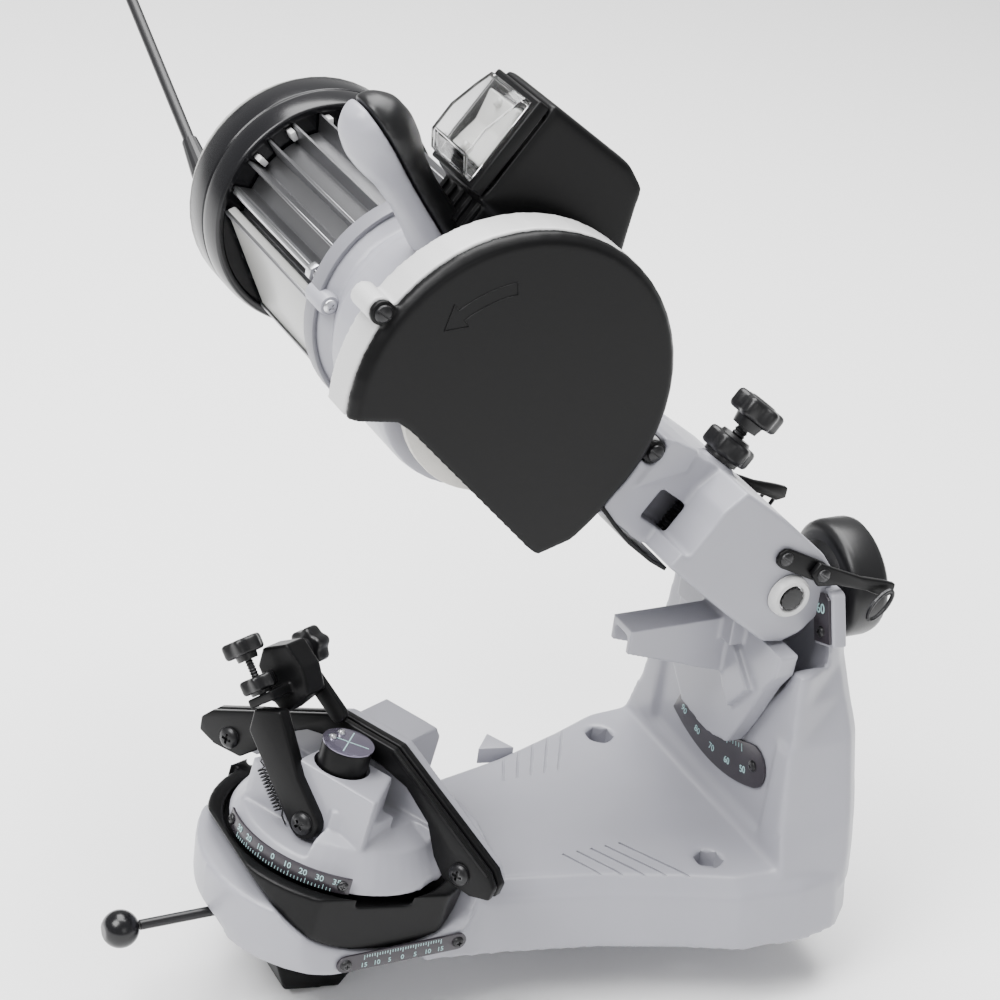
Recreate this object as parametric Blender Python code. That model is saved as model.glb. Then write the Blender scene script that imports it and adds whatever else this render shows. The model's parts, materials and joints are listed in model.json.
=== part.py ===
"""Bench-mounted saw-chain grinder, built as separate solids on their joint axes.

Frame: +X to the operator's right, +Y away from the operator, +Z up.  The origin is midway
between the two bench bolts, on the underside of the base.  Sizes are in millimetres and MM
turns them into metres.  Parts of the grinding head are laid out in the head's own frame, with
the swing hub at its origin and the arm pointing along -Y, and are then raised by HEAD_RAISE.
Parts of the vise are laid out in the cradle's frame, with its origin on the tilt axis.
"""
import math

import bmesh
import bpy
from mathutils import Matrix, Vector

MM = 0.001
GAP = 0.3

WHEEL_R = 50.4
WHEEL_WIDTH = 4.5
GUARD_R = 82.0
BOLT_HALF_SPACING = 57.8
BASE_HEIGHT = 36.0
LOBE_LEVELS = ((60, 8), (67, 12), (71, 24), (71, 46))
VISE_Y = -169.5
LEVER_Y = -216.0
LEVER_Z = 16.0
VISE_AXIS_Z = 95.0
VISE_TILT = 10.0
VISE_TURN = 30.0
RING_R = 65.0
RIM_DROP = 44.7
ROCKER_R = 77.0
HUB_Y = 25.5
HUB_Z = 178.3
HEAD_RAISE = 36.0
TILT_Z = 151.2
RECESS_Y = 31.8
UPRIGHT_STEP_Y = 53.5
REACH = 186.0
MOTOR_END = -190.0
FAN_END = -206.0
CORD_R = 3.0
CORD_EXIT = (-236.0, -174.5, 294.0)
CORD_WAY = (-0.91, 0.0, 0.414)
CORD_LENGTH = 150.0
CORD_POINTS = 12
GLAND_R = 6.0
TABLE_LOW = -RIM_DROP - 2 + GAP
DISC_AT = (1, -19)
SCREW_AT = (8.5, -56)
FRONT_LUG = (-272, -1)
REAR_LUG = (-101, 17)
STOP_SCREW_AT = (5.5, -4)
PAWL_AT = (12, 75)

for old in list(bpy.data.objects):
    bpy.data.objects.remove(old)


def finish(name, colour, roughness, metallic=0.0):
    """A plain Principled material."""
    material = bpy.data.materials.new(name)
    material.use_nodes = True
    shader = material.node_tree.nodes["Principled BSDF"]
    shader.inputs["Base Color"].default_value = (*colour, 1.0)
    shader.inputs["Roughness"].default_value = roughness
    shader.inputs["Metallic"].default_value = metallic
    return material


GREY = finish("grey_paint", (0.43, 0.43, 0.46), 0.45)
PALE = finish("pale_grey", (0.70, 0.70, 0.68), 0.5)
BLACK = finish("black_plastic", (0.012, 0.012, 0.012), 0.4)
KNOB = finish("knob_plastic", (0.03, 0.03, 0.033), 0.45)
GLOSS = finish("gloss_plastic", (0.03, 0.03, 0.035), 0.2)
STEEL = finish("bright_steel", (0.6, 0.6, 0.62), 0.25, 1.0)
DARK_STEEL = finish("blacked_steel", (0.04, 0.04, 0.045), 0.4, 0.6)
ALUMINIUM = finish("bare_aluminium", (0.42, 0.42, 0.43), 0.4, 1.0)
COPPER = finish("winding_copper", (0.55, 0.25, 0.12), 0.4, 1.0)
CLEAR = finish("clear_plastic", (0.8, 0.8, 0.8), 0.1)
STONE = finish("grinding_stone", (0.72, 0.70, 0.66), 0.9)
PLATE = finish("scale_plate", (0.10, 0.09, 0.11), 0.5)
CORD = finish("cord_sheath", (0.02, 0.02, 0.022), 0.5)


def frame(name, at, turn=(0, 0, 0), parent=None):
    """An empty that carries a group of parts."""
    empty = bpy.data.objects.new(name, None)
    bpy.context.scene.collection.objects.link(empty)
    empty.parent = parent
    empty.location = Vector(at) * MM
    empty.rotation_euler = [math.radians(angle) for angle in turn]
    return empty


def solid(name, bm, material, parent=None, at=(0, 0, 0), turn=(0, 0, 0), smooth=30):
    """Close a bmesh made in millimetres into a named object."""
    bmesh.ops.remove_doubles(bm, verts=bm.verts, dist=1e-4)
    bmesh.ops.recalc_face_normals(bm, faces=bm.faces)
    bmesh.ops.scale(bm, vec=(MM, MM, MM), verts=bm.verts)
    mesh = bpy.data.meshes.new(name)
    bm.to_mesh(mesh)
    bm.free()
    mesh.materials.append(material)
    mesh.shade_smooth()
    mesh.set_sharp_from_angle(angle=math.radians(smooth))
    made = bpy.data.objects.new(name, mesh)
    bpy.context.scene.collection.objects.link(made)
    made.parent = parent
    made.location = Vector(at) * MM
    made.rotation_euler = [math.radians(angle) for angle in turn]
    return made


def on_axis(axis, flat, along):
    """Put a 2D point and a distance along the named axis into 3D."""
    if axis == "X":
        return (along, flat[0], flat[1])
    if axis == "Y":
        return (flat[0], along, flat[1])
    return (flat[0], flat[1], along)


def prism(name, outline, lo, hi, material, axis="Z", **where):
    """Extrude a closed 2D outline from lo to hi along an axis."""
    bm = bmesh.new()
    face = bm.faces.new([bm.verts.new(on_axis(axis, p, lo)) for p in outline])
    pushed = bmesh.ops.extrude_face_region(bm, geom=[face])
    moved = [item for item in pushed["geom"] if isinstance(item, bmesh.types.BMVert)]
    step = Vector(on_axis(axis, (0, 0), hi - lo))
    bmesh.ops.translate(bm, verts=moved, vec=step)
    return solid(name, bm, material, **where)


def block(name, lo, hi, material, **where):
    """A box between two corners."""
    outline = [(lo[0], lo[1]), (hi[0], lo[1]), (hi[0], hi[1]), (lo[0], hi[1])]
    return prism(name, outline, lo[2], hi[2], material, **where)


def turned(name, profile, material, axis="Z", steps=24, centre=(0, 0), **where):
    """Turn a profile of (radius, height) round an axis; it may be a solid or a sleeve."""
    bm = bmesh.new()
    verts = [bm.verts.new((radius, 0, height)) for radius, height in profile]
    edges = [bm.edges.new(pair) for pair in zip(verts, verts[1:])]
    if profile[0][0] > 0 and profile[-1][0] > 0:
        edges.append(bm.edges.new((verts[-1], verts[0])))
    bmesh.ops.spin(bm, geom=verts + edges, cent=(0, 0, 0), axis=(0, 0, 1), dvec=(0, 0, 0),
                   angle=2 * math.pi, steps=steps, use_merge=True, use_duplicate=False)
    lie = {"X": Matrix.Rotation(math.pi / 2, 4, "Y"), "Y": Matrix.Rotation(-math.pi / 2, 4, "X")}
    if axis in lie:
        bmesh.ops.transform(bm, matrix=lie[axis], verts=bm.verts)
    bmesh.ops.translate(bm, verts=bm.verts, vec=on_axis(axis, centre, 0))
    return solid(name, bm, material, **where)


def rod(name, radius, lo, hi, material, axis="Z", steps=16, bore=0, **where):
    """A plain cylinder or, with a bore, a tube."""
    inner = [(bore, hi), (bore, lo)] if bore else [(0, hi), (0, lo)]
    profile = [inner[0], (radius, hi), (radius, lo), inner[1]]
    return turned(name, profile, material, axis=axis, steps=steps, **where)


def loft(name, rings, material, **where):
    """Skin a stack of rings that have the same number of points, and cap both ends."""
    bm = bmesh.new()
    rows = [[bm.verts.new(point) for point in ring] for ring in rings]
    for low, high in zip(rows, rows[1:]):
        for i, vert in enumerate(low):
            j = (i + 1) % len(low)
            bm.faces.new((vert, low[j], high[j], high[i]))
    bm.faces.new(rows[0])
    bm.faces.new(rows[-1])
    return solid(name, bm, material, **where)


def arc(centre, radius, start, end, count):
    """Points on an arc, angles in degrees."""
    points = []
    for i in range(count + 1):
        angle = math.radians(start + (end - start) * i / count)
        points.append((centre[0] + radius * math.cos(angle), centre[1] + radius * math.sin(angle)))
    return points


def lobed(radius, depth, lobes, points_per_lobe=6):
    """The outline of a knob with rounded lobes."""
    count = lobes * points_per_lobe
    outline = []
    for i in range(count):
        angle = 2 * math.pi * i / count
        reach = radius - depth * 0.5 * (1 - math.cos(lobes * angle))
        outline.append((reach * math.cos(angle), reach * math.sin(angle)))
    return outline


def oval(cx, cy, rx, ry, z, count=24, power=2.0):
    """A ring of points on a superellipse, as wanted by loft."""
    ring = []
    for i in range(count):
        angle = 2 * math.pi * i / count
        c, s = math.cos(angle), math.sin(angle)
        x = cx + rx * math.copysign(abs(c) ** (2 / power), c)
        y = cy + ry * math.copysign(abs(s) ** (2 / power), s)
        ring.append((x, y, z))
    return ring


def combine(target, tool, operation):
    """Change a solid by another that is only a tool, and hide the tool."""
    modifier = target.modifiers.new(tool.name, "BOOLEAN")
    modifier.operation = operation
    modifier.solver = "EXACT"
    modifier.object = tool
    tool.hide_render = True
    tool.display_type = "WIRE"
    return target


def carve(target, *tools):
    for tool in tools:
        combine(target, tool, "DIFFERENCE")
    return target


def weld(target, *tools):
    for tool in tools:
        combine(target, tool, "UNION")
    return target


# ---------------------------------------------------------------- base

def base_outline(z, grow):
    """Plan outline of the base body; grow moves the sides outward."""
    right = [(49, -150), (55, -112), (66, -61), (80, -20), (90, 5), (93, 40), (89, 62), (76, 77), (40, 79)]
    side = [(x + grow, y) for x, y in right]
    return [(x, y, z) for x, y in side] + [(-x, y, z) for x, y in reversed(side)]


def upright_ring(front_half, back_half, front, back, z):
    """A level section through the upright, whose sides close in towards the back."""
    right = [(front_half, front), (front_half, front + 6), (back_half, back - 9), (back_half - 9, back)]
    return [(x, y, z) for x, y in right] + [(-x, y, z) for x, y in reversed(right)]


def make_base():
    """The base casting with its front lobe, saddle, upright, bolt pockets and hollow underside."""
    base = loft("base_casting", [base_outline(0, 0), base_outline(28, -6), base_outline(BASE_HEIGHT, -14)], GREY)
    lobe = loft("lobe_tool", [oval(0, VISE_Y - 6, r, r, z, 48) for r, z in LOBE_LEVELS], GREY)
    levels = [(85, 82, 28, 77.5, 20), (80, 80, 28.5, 77.2, 39), (73, 76, 29, 77, 60), (66, 66, 30, 75.5, 100),
              (63, 55, 31, 74, 120), (62, 48, 32, 73, 134), (60, 42, 33, 71, 166)]
    upright = loft("upright_tool", [upright_ring(*level) for level in levels], GREY)
    weld(base, lobe, upright)
    saddle = rod("saddle_tool", ROCKER_R + GAP, -120, 120, GREY, axis="X", steps=96,
                 centre=(VISE_Y, VISE_AXIS_Z))
    flat = block("flat_tool", (56, VISE_Y - 60, -5), (90, VISE_Y + 38, 60), GREY)
    lever_slot = block("lever_slot_tool", (-15, -260, 11.5), (15, LEVER_Y + 9, 20.5), GREY)
    recess = block("recess_tool", (-55, -4, 42), (55, RECESS_Y, 150), GREY)
    step = block("step_tool", (-90, 0, 138), (90, UPRIGHT_STEP_Y, 220), GREY)
    bolt = rod("tilt_bore_tool", 6.35, 21, 121, GREY, axis="Y", steps=18, centre=(0, TILT_Z))
    stud_slot = block("stud_slot_tool", (-5.5, VISE_Y - 30, 0), (5.5, VISE_Y + 30, 60), GREY)
    knob_room = block("knob_room_tool", (-21, -232, -5), (21, -114, 9), GREY)
    cheek_room = rod("cheek_room_tool", 54.5, -1, UPRIGHT_STEP_Y + 0.4, GREY, axis="Y", steps=48, centre=(0, TILT_Z))
    swing_room = block("swing_room_tool", (-90, -4, 97), (90, RECESS_Y + 0.1, 151), GREY)
    carve(base, step, saddle, flat, recess, bolt, stud_slot, lever_slot, knob_room, cheek_room, swing_room)
    for side, x in (("left", -BOLT_HALF_SPACING), ("right", BOLT_HALF_SPACING)):
        hexagon = prism(side + "_hex_tool", arc((x, 0), 7.6, 0, 300, 5), 26, 60, GREY)
        hole = rod(side + "_hole_tool", 4.3, -5, 60, GREY, steps=12, centre=(x, 0))
        carve(base, hexagon, hole)
    rear_hollow = block("rear_hollow_tool", (-50, 14, -5), (50, 66, 24), GREY)
    front_hollow = block("front_hollow_tool", (-40, -88, -5), (40, -14, 24), GREY)
    carve(base, rear_hollow, front_hollow)
    return base


def make_base_plates():
    """Scale plates of the down angle and the head's tilt."""
    lobe_side = 56 + GAP
    down = [(-33, 0), (-33, 6), (-29, 9), (29, 9), (33, 6), (33, 0), (29, -3), (-29, -3)]
    prism("down_angle_plate", [(VISE_Y + 3 + y, 14 + z * 0.8) for y, z in down], lobe_side, lobe_side + 1.2,
          PLATE, axis="X")
    band = arc((0, TILT_Z), 99, 247, 298, 12) + arc((0, TILT_Z), 76, 298, 247, 12)
    prism("tilt_angle_plate", band, RECESS_Y - GAP - 1.2, RECESS_Y - GAP, PLATE, axis="Y")


# ---------------------------------------------------------------- vise

def make_cradle(cradle):
    """The rocking cradle, its stud and the lock knob under the base lobe."""
    ring = rod("cradle_ring", RING_R, -90, -RIM_DROP - 2, BLACK, steps=64, parent=cradle)
    drum = rod("drum_tool", ROCKER_R, -100, 100, BLACK, axis="X", steps=96, parent=cradle)
    combine(ring, drum, "INTERSECT")
    facet = block("facet_tool", (55, -80, -100), (90, 80, 0), BLACK, parent=cradle)
    well = rod("well_tool", 57, -52, -20, BLACK, steps=48, parent=cradle)
    bore = rod("bore_tool", 5 + GAP, -120, 0, BLACK, parent=cradle)
    carve(ring, facet, well, bore)
    stud = [(0, -54), (5, -54), (5, -118), (0, -118)]
    turned("cradle_stud", stud, STEEL, steps=16, parent=cradle)


def make_cradle_knob(knob):
    """A wing-shaped lock knob, tapered towards its ends."""
    wing = [(-26, 0), (26, 0), (25, -9), (15, -28), (-15, -28), (-25, -9)]
    body = prism("cradle_lock_knob", wing, -16, 16, BLACK, axis="X", parent=knob)
    bore = rod("knob_bore_tool", 5 + GAP, -18.5, 5, BLACK, parent=knob)
    carve(body, bore)


def jaw_outline(grow=1.0, drop=0.0):
    """Front view of a chain jaw: an arch that falls to a screw pad at each end."""
    right = [(18, 12), (84, -21), (89, -27), (88, -34), (78, -37), (62, -36), (54, -28), (46, -14), (30, -3), (12, 1)]
    side = [(x * grow, z - drop) for x, z in right]
    return side + [(-x, z) for x, z in reversed(side)]


def make_turntable(table):
    """The turning vise body with its angle plate and rear jaw."""
    low = TABLE_LOW
    seat = [(0, low + 24), (34, low + 24), (46, low + 18), (53, low + 6), (55, low + 2), (55, low), (0, low)]
    body = turned("turntable_casting", seat, GREY, steps=48, parent=table)
    wall = prism("wall_tool", jaw_outline(0.96, 1.5), 6.2, 13, GREY, axis="Y", parent=table)
    foot = block("foot_tool", (-46, 3, low + 4), (46, 16, -6), GREY, parent=table)
    lug = prism("lug_tool", [(10, -30), (44, -30), (44, 2), (38, 9), (10, 9)], -16, 16, GREY, axis="X",
                parent=table)
    ledge = prism("ledge_tool", [(-8, -44), (30, -30), (32, -12), (-36, -12), (-40, -30)], low + 12, low + 31,
                  GREY, parent=table)
    weld(body, foot, wall, lug, ledge)
    bore = rod("table_bore_tool", 5 + GAP, -80, 30, GREY, parent=table)
    knob_pit = rod("knob_pit_tool", 12.6, low + 12, 40, GREY, steps=24, centre=DISC_AT, parent=table)
    upper = block("upper_tool", (-100, -6, low + 25), (100, 6, 40), GREY, parent=table)
    left_end = block("left_end_tool", (-110, -6, -70), (-54, 6, 42), GREY, parent=table)
    right_end = block("right_end_tool", (54, -6, -70), (110, 6, 42), GREY, parent=table)
    stop_seat = block("stop_seat_tool", (-70, -70, low + 10), (11.5, -32, 60), GREY, parent=table)
    carve(body, bore, knob_pit, upper, left_end, right_end, stop_seat)
    prism("rear_jaw", jaw_outline(), 0.7, 5.7, BLACK, axis="Y", parent=table)
    plate = arc((0, 0), 55 + GAP + 1.2, -132, -48, 14) + arc((0, 0), 55 + GAP, -48, -132, 14)
    prism("angle_scale_plate", plate, low + 0.5, low + 9, PLATE, parent=table)


def make_front_jaw(table):
    """The sliding front jaw."""
    jaw = frame("front_jaw_frame", (0, 0, 0), parent=table)
    prism("front_jaw", jaw_outline(), -5.3, -1.3, BLACK, axis="Y", parent=jaw)


def make_eccentric(table):
    """The round eccentric knob that trims the clamping travel."""
    low = TABLE_LOW
    knob = frame("eccentric_frame", (*DISC_AT, 0), parent=table)
    rod("eccentric_knob", 12.2, low + 12 + GAP, 10.5, BLACK, steps=24, parent=knob)


def make_clamp_lever():
    """The clamping lever: its eccentric hub in the lobe, the rod and the ball."""
    lever = frame("clamp_lever_frame", (0, LEVER_Y, LEVER_Z))
    hub = rod("clamp_lever", 7, -4, 4, DARK_STEEL, parent=lever)
    arm = rod("lever_rod_tool", 2.6, -62, -3, DARK_STEEL, axis="Y", steps=12, parent=lever)
    weld(hub, arm)
    ball = [(9.2 * math.sin(math.radians(a)), 9.2 * math.cos(math.radians(a))) for a in range(0, 181, 18)]
    turned("clamp_lever_ball", ball, GLOSS, steps=20, parent=lever, at=(0, -62 - 9.2 - GAP, 0))


def make_chain_stop(table):
    """The chain stop: its leaning arm and block, pawl, adjusting screw, knobs and spring."""
    stop = frame("chain_stop_frame", (0.5, -32, -27), (0, -46, 0), parent=table)
    bar = arc((0, 0), 8.5, 180, 360, 8) + [(8, 20), (14, 52), (0, 58), (-8, 50)]
    prism("chain_stop_arm", bar, -8, -GAP, BLACK, axis="Y", parent=stop)
    hull = [(4, 50), (22, 54), (25, 66), (22, 80), (8, 83), (1, 76), (0, 60)]
    body = prism("chain_stop_block", hull, 6, 21, BLACK, axis="Y", parent=stop)
    ear = block("block_ear_tool", (-1, -9.5, 58.5), (15, 8, 63), BLACK, parent=stop)
    weld(body, ear)
    bore = rod("stop_screw_bore_tool", 2.3, 50, 90, BLACK, steps=12, centre=STOP_SCREW_AT, parent=stop)
    carve(body, bore)
    x, y = STOP_SCREW_AT
    shank = rod("stop_screw", 2, 58 + GAP, 85, DARK_STEEL, steps=12, centre=STOP_SCREW_AT, parent=stop)
    grip = prism("stop_grip_tool", lobed(10.5, 2.4, 6), 83.5, 91, KNOB, parent=stop, at=(x, y, 0))
    weld(shank, grip)
    lock = prism("stop_lock_knob", lobed(9.5, 2, 6), 66, 72, KNOB, parent=stop, at=(x, y, 0))
    lock_neck = rod("stop_lock_neck_tool", 5, 63 + GAP, 68, KNOB, parent=stop, at=(x, y, 0))
    weld(lock, lock_neck)
    lock_bore = rod("stop_lock_bore_tool", 2.3, 50, 90, KNOB, steps=12, parent=stop, at=(x, y, 0))
    carve(lock, lock_bore)
    knob = [(0, 40), (8, 40), (10, 37), (10, 31), (8.5, 29), (4, 29), (4, 25 + 2 * GAP), (0, 25 + 2 * GAP)]
    turned("pawl_knob", knob, KNOB, axis="Y", steps=20, parent=stop, at=(PAWL_AT[0], 0, PAWL_AT[1]))
    pawl = bar_outline(PAWL_AT, (21, 40), 4.5)
    prism("stop_pawl", pawl, 21 + GAP, 25 + GAP, BLACK, axis="Y", parent=stop)
    rod("stop_spring", 2.2, 6, 34, DARK_STEEL, steps=12, parent=stop, at=(-13.2, -4, 0))


def make_tilt_bracket(tilt):
    """The tilting bracket: lobed plate, hub barrel, pivot boss and the forward stop horn."""
    lobe = [(-30, 6), (-38, -30), (-36, -56), (-19, -73), (0, -75.4), (6, -75.4), (12, -74.6), (26, -70.5), (36, -52),
            (48, -26), (56, -14), (58, 4), (44, 12), (24, 14), (-24, 14)]
    plate = prism("tilt_bracket", [(x, z) for x, z in lobe], -11, -GAP, GREY, axis="Y", parent=tilt)
    boss = rod("pivot_boss_tool", 13, -4, UPRIGHT_STEP_Y - RECESS_Y - GAP, GREY, axis="Y", steps=24, parent=tilt)
    post = block("post_tool", (-26, -20, -12), (26, -1, 24), GREY, parent=tilt)
    barrel = rod("barrel_tool", 14.8, -29.6, 29.6, GREY, axis="X", steps=32, parent=tilt,
                 centre=(HUB_Y - RECESS_Y, HUB_Z - TILT_Z))
    side = [(-8, -3), (-8, -36), (-72, -14), (-72, -1), (-10, -1)]
    horn = prism("horn_tool", side, -1, 17, GREY, axis="X", parent=tilt)
    trough = prism("trough_tool", [(-22.5, -40), (-22.5, -6), (-75, -5), (-75, -40)], 2, 14, GREY, axis="X", parent=tilt)
    weld(plate, boss, post, barrel, horn)
    hub_bore = rod("hub_bore_tool", 9 + GAP, -60, 60, GREY, axis="X", steps=20, parent=tilt,
                   centre=(HUB_Y - RECESS_Y, HUB_Z - TILT_Z))
    pin_bore = rod("pin_bore_tool", 6.1, -6.5, 60, GREY, axis="Y", parent=tilt)
    carve(plate, trough, hub_bore, pin_bore)
    for side, lo, hi in (("left", -60, -29.9), ("right", 29.9, 60)):
        room = rod(side + "_cheek_room_tool", 29.5, lo, hi, GREY, axis="X", steps=32, parent=tilt,
                   centre=(HUB_Y - RECESS_Y, HUB_Z - TILT_Z))
        carve(plate, room)


def make_tilt_pin(tilt, knob):
    """The stud through the upright and the big round lock knob behind it."""
    profile = [(0, 68), (5.7, 68), (5.7, -6), (0, -6)]
    turned("tilt_stud", profile, STEEL, axis="Y", parent=tilt)
    grip = [(6.3, 26), (26, 26), (31, 22), (32, 12), (31, 3), (27, 0), (18, -2), (14, -3.4), (6.3, -3.4)]
    turned("tilt_lock_knob", grip, BLACK, axis="Y", steps=32, parent=knob)


def make_arm(head):
    """The swing arm casting: forked hub, neck and the saddle under the gear housing."""
    cheek = [(24, -12), (26, 0), (24, 12), (16, 22), (3, 26), (-30, 29), (-62, 29), (-66, 15), (-65, -1),
             (-70, -6), (-71, -21), (-20, -25), (8, -26), (18, -21)]
    arm = prism("swing_arm", cheek, -46, 46, GREY, axis="X", parent=head)
    neck = prism("neck_tool", [(-50, 30), (-100, 26), (-104, 10), (-104, -21), (-60, -23)], -30, 20, GREY,
                 axis="X", parent=head)
    link = prism("link_tool", [(-90, 25), (-128, 28), (-128, -22), (-90, -21)], -44, -5, GREY, axis="X",
                 parent=head)
    boss = rod("screw_boss_tool", 9.5, 10, 31, GREY, steps=20, centre=SCREW_AT, parent=head)
    weld(arm, neck, link, boss)
    channel = block("channel_tool", (-30, -36, -40), (30, 40, 18), GREY, parent=head)
    horn_way = block("horn_way_tool", (-4, -70.5, -40), (20, -20, -18), GREY, parent=head)
    window = block("window_tool", (2, -82, -12), (60, -47, 5), GREY, parent=head)
    hub_bore = rod("arm_hub_bore_tool", 9 + GAP, -60, 60, GREY, axis="X", steps=20, parent=head)
    screw_bore = rod("screw_bore_tool", 3.85, -61, 61, GREY, steps=14, centre=SCREW_AT, parent=head)
    drum = rod("drum_room_tool", 56.3, -90, 10, GREY, axis="X", steps=48, centre=(-REACH, 0), parent=head)
    guard = rod("guard_room_tool", GUARD_R + 0.6, -1.4, 40, GREY, axis="X", steps=48, centre=(-REACH, 0), parent=head)
    lug = rod("lug_room_tool", 6.7, -1.6, 41, GREY, axis="X", centre=REAR_LUG, parent=head)
    carve(arm, channel, horn_way, window, hub_bore, screw_bore, drum, guard, lug)


def make_hub(head):
    """Hub shaft with its two bushes and the return spring that lifts the head."""
    rod("return_spring", 8.9, -9.5, 9.5, STEEL, axis="X", bore=7 + 2 * GAP, parent=head)
    rod("hub_shaft", 7, -49, 49, STEEL, axis="X", parent=head)
    for side, s in (("left", -1), ("right", 1)):
        spans = sorted((s * 10, s * 45.5))
        rod("hub_bush_" + side, 9, *spans, COPPER, axis="X", bore=7 + GAP, parent=head)


def make_depth_screw(head, screw_frame, lock_frame):
    """The depth-of-cut screw with its lobed knob, and its lock knob."""
    shank = rod("depth_screw", 3.5, -22, 52, DARK_STEEL, steps=12, parent=screw_frame)
    neck = turned("depth_neck_tool", [(0, 58), (8, 58), (7, 49), (0, 49)], KNOB, steps=16, parent=screw_frame)
    grip = prism("depth_grip_tool", lobed(16, 3.6, 6), 54, 63, KNOB, parent=screw_frame)
    weld(shank, neck, grip)
    nut = prism("depth_lock_knob", lobed(15, 3.4, 6), 36, 44, KNOB, parent=lock_frame)
    collar = rod("lock_collar_tool", 9, 31 + GAP, 38, KNOB, parent=lock_frame)
    weld(nut, collar)
    bore = rod("lock_bore_tool", 3.8, 20, 80, KNOB, steps=12, parent=lock_frame)
    carve(nut, bore)


def bar_outline(start, end, width, steps=5):
    """A flat link with round ends between two points."""
    angle = math.degrees(math.atan2(end[1] - start[1], end[0] - start[0]))
    return arc(end, width, angle - 90, angle + 90, steps) + arc(start, width, angle + 90, angle + 270, steps)


def make_catch(head, side, s):
    """One side's catch: a link on the cheek, the lever pinned to it and its pull ring."""
    root = frame(side + "_catch_frame", (0, -17.6, 14), parent=head)
    prism(side + "_catch_link", bar_outline((0, 0), (22.9, 4), 5.2), *sorted((s * (46 + GAP), s * 48.5)),
                 BLACK, axis="X", parent=root)
    lever = frame(side + "_lever_frame", (0, 5.3, 18), parent=head)
    shape = [(-6, -3), (2, -6), (12, 0), (30, 6), (42, 8), (46, 12), (43, 17), (36, 15), (22, 10), (4, 6), (-6, 4)]
    prism(side + "_catch_lever", shape, *sorted((s * (48.5 + GAP), s * 52)), BLACK, axis="X", parent=lever)


def make_pull_ring(lever, side, s):
    """The oval wire ring that hangs from the lever's end."""
    bm = bmesh.new()
    around, section = 20, 8
    rings = []
    for i in range(around):
        a = 2 * math.pi * i / around
        centre = Vector((0, 4.2 * math.sin(a), 9 * math.cos(a) - 7.6))
        out = Vector((0, math.sin(a) / 4.2, math.cos(a) / 9)).normalized()
        ring = []
        for j in range(section):
            b = 2 * math.pi * j / section
            ring.append(bm.verts.new(centre + out * 1.1 * math.cos(b) + Vector((1.1 * math.sin(b), 0, 0))))
        rings.append(ring)
    for i, ring in enumerate(rings):
        after = rings[(i + 1) % around]
        for j in range(section):
            k = (j + 1) % section
            bm.faces.new((ring[j], ring[k], after[k], after[j]))
    at = (s * 54.5, 41, 12)
    return solid(side + "_pull_ring", bm, STEEL, parent=lever, at=at)


def cover_outline(grow=0.0):
    """Side outline of the guard in the head frame as (y, z): a circle with its lower part cut away."""
    r = GUARD_R + grow
    rim = [(-REACH - r * math.cos(math.radians(a)), r * math.sin(math.radians(a))) for a in range(-36, 190, 7)]
    low = [(-105 + grow, -21), (-111, -39), (-121, -53), (-127, -53), (-223, -37), (-232, -37)]
    return rim + low


def make_guard(head):
    """Backplate and the black outer cover, each with the lugs that their screws go through."""
    back = prism("guard_backplate", cover_outline(), -1, 0.8, PALE, axis="X", parent=head)
    tray = prism("rim_tool", cover_outline(), 0, 17, PALE, axis="X", parent=head)
    weld(back, tray)
    inner = [(-REACH + (y + REACH) * 0.965, z * 0.965) for y, z in cover_outline()]
    hollow = prism("tray_hollow_tool", inner, 1.5, 30, PALE, axis="X", parent=head)
    mouth = block("mouth_tool", (1.5, -222, -90), (30, -126, -20), PALE, parent=head)
    shaft_way = rod("shaft_way_tool", 14, -10, 10, PALE, axis="X", steps=24, centre=(-REACH, 0), parent=head)
    carve(back, hollow, mouth, shaft_way)
    levels = ((0, 17 + GAP), (-0.5, 21), (-3.5, 24.5))
    cover = loft("guard_cover", [[(x, y, z) for y, z in cover_outline(grow)] for grow, x in levels], BLACK,
                 parent=head)
    cover_hollow = prism("cover_hollow_tool", inner, 10, 22.5, BLACK, axis="X", parent=head)
    cover_mouth = block("cover_mouth_tool", (10, -222, -90), (22.5, -126, -20), BLACK, parent=head)
    carve(cover, cover_hollow, cover_mouth)
    for place, at in (("front", FRONT_LUG), ("rear", REAR_LUG)):
        lug = rod(place + "_lug_tool", 6, 17 + GAP, 21, BLACK, axis="X", centre=at, parent=head)
        weld(cover, lug)
        ear = rod(place + "_ear_tool", 6, -1, 17, PALE, axis="X", centre=at, parent=head)
        weld(back, ear)


def make_housing(head):
    """The grey housing between guard and motor."""
    profile = [(55, -2), (56, -8), (56, -55), (50, -68), (57, -76), (58, -84), (46, -84), (50, -10), (17, -8), (17, -2)]
    turned("head_housing", profile, GREY, axis="X", steps=48, centre=(-REACH, 0), parent=head)


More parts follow.
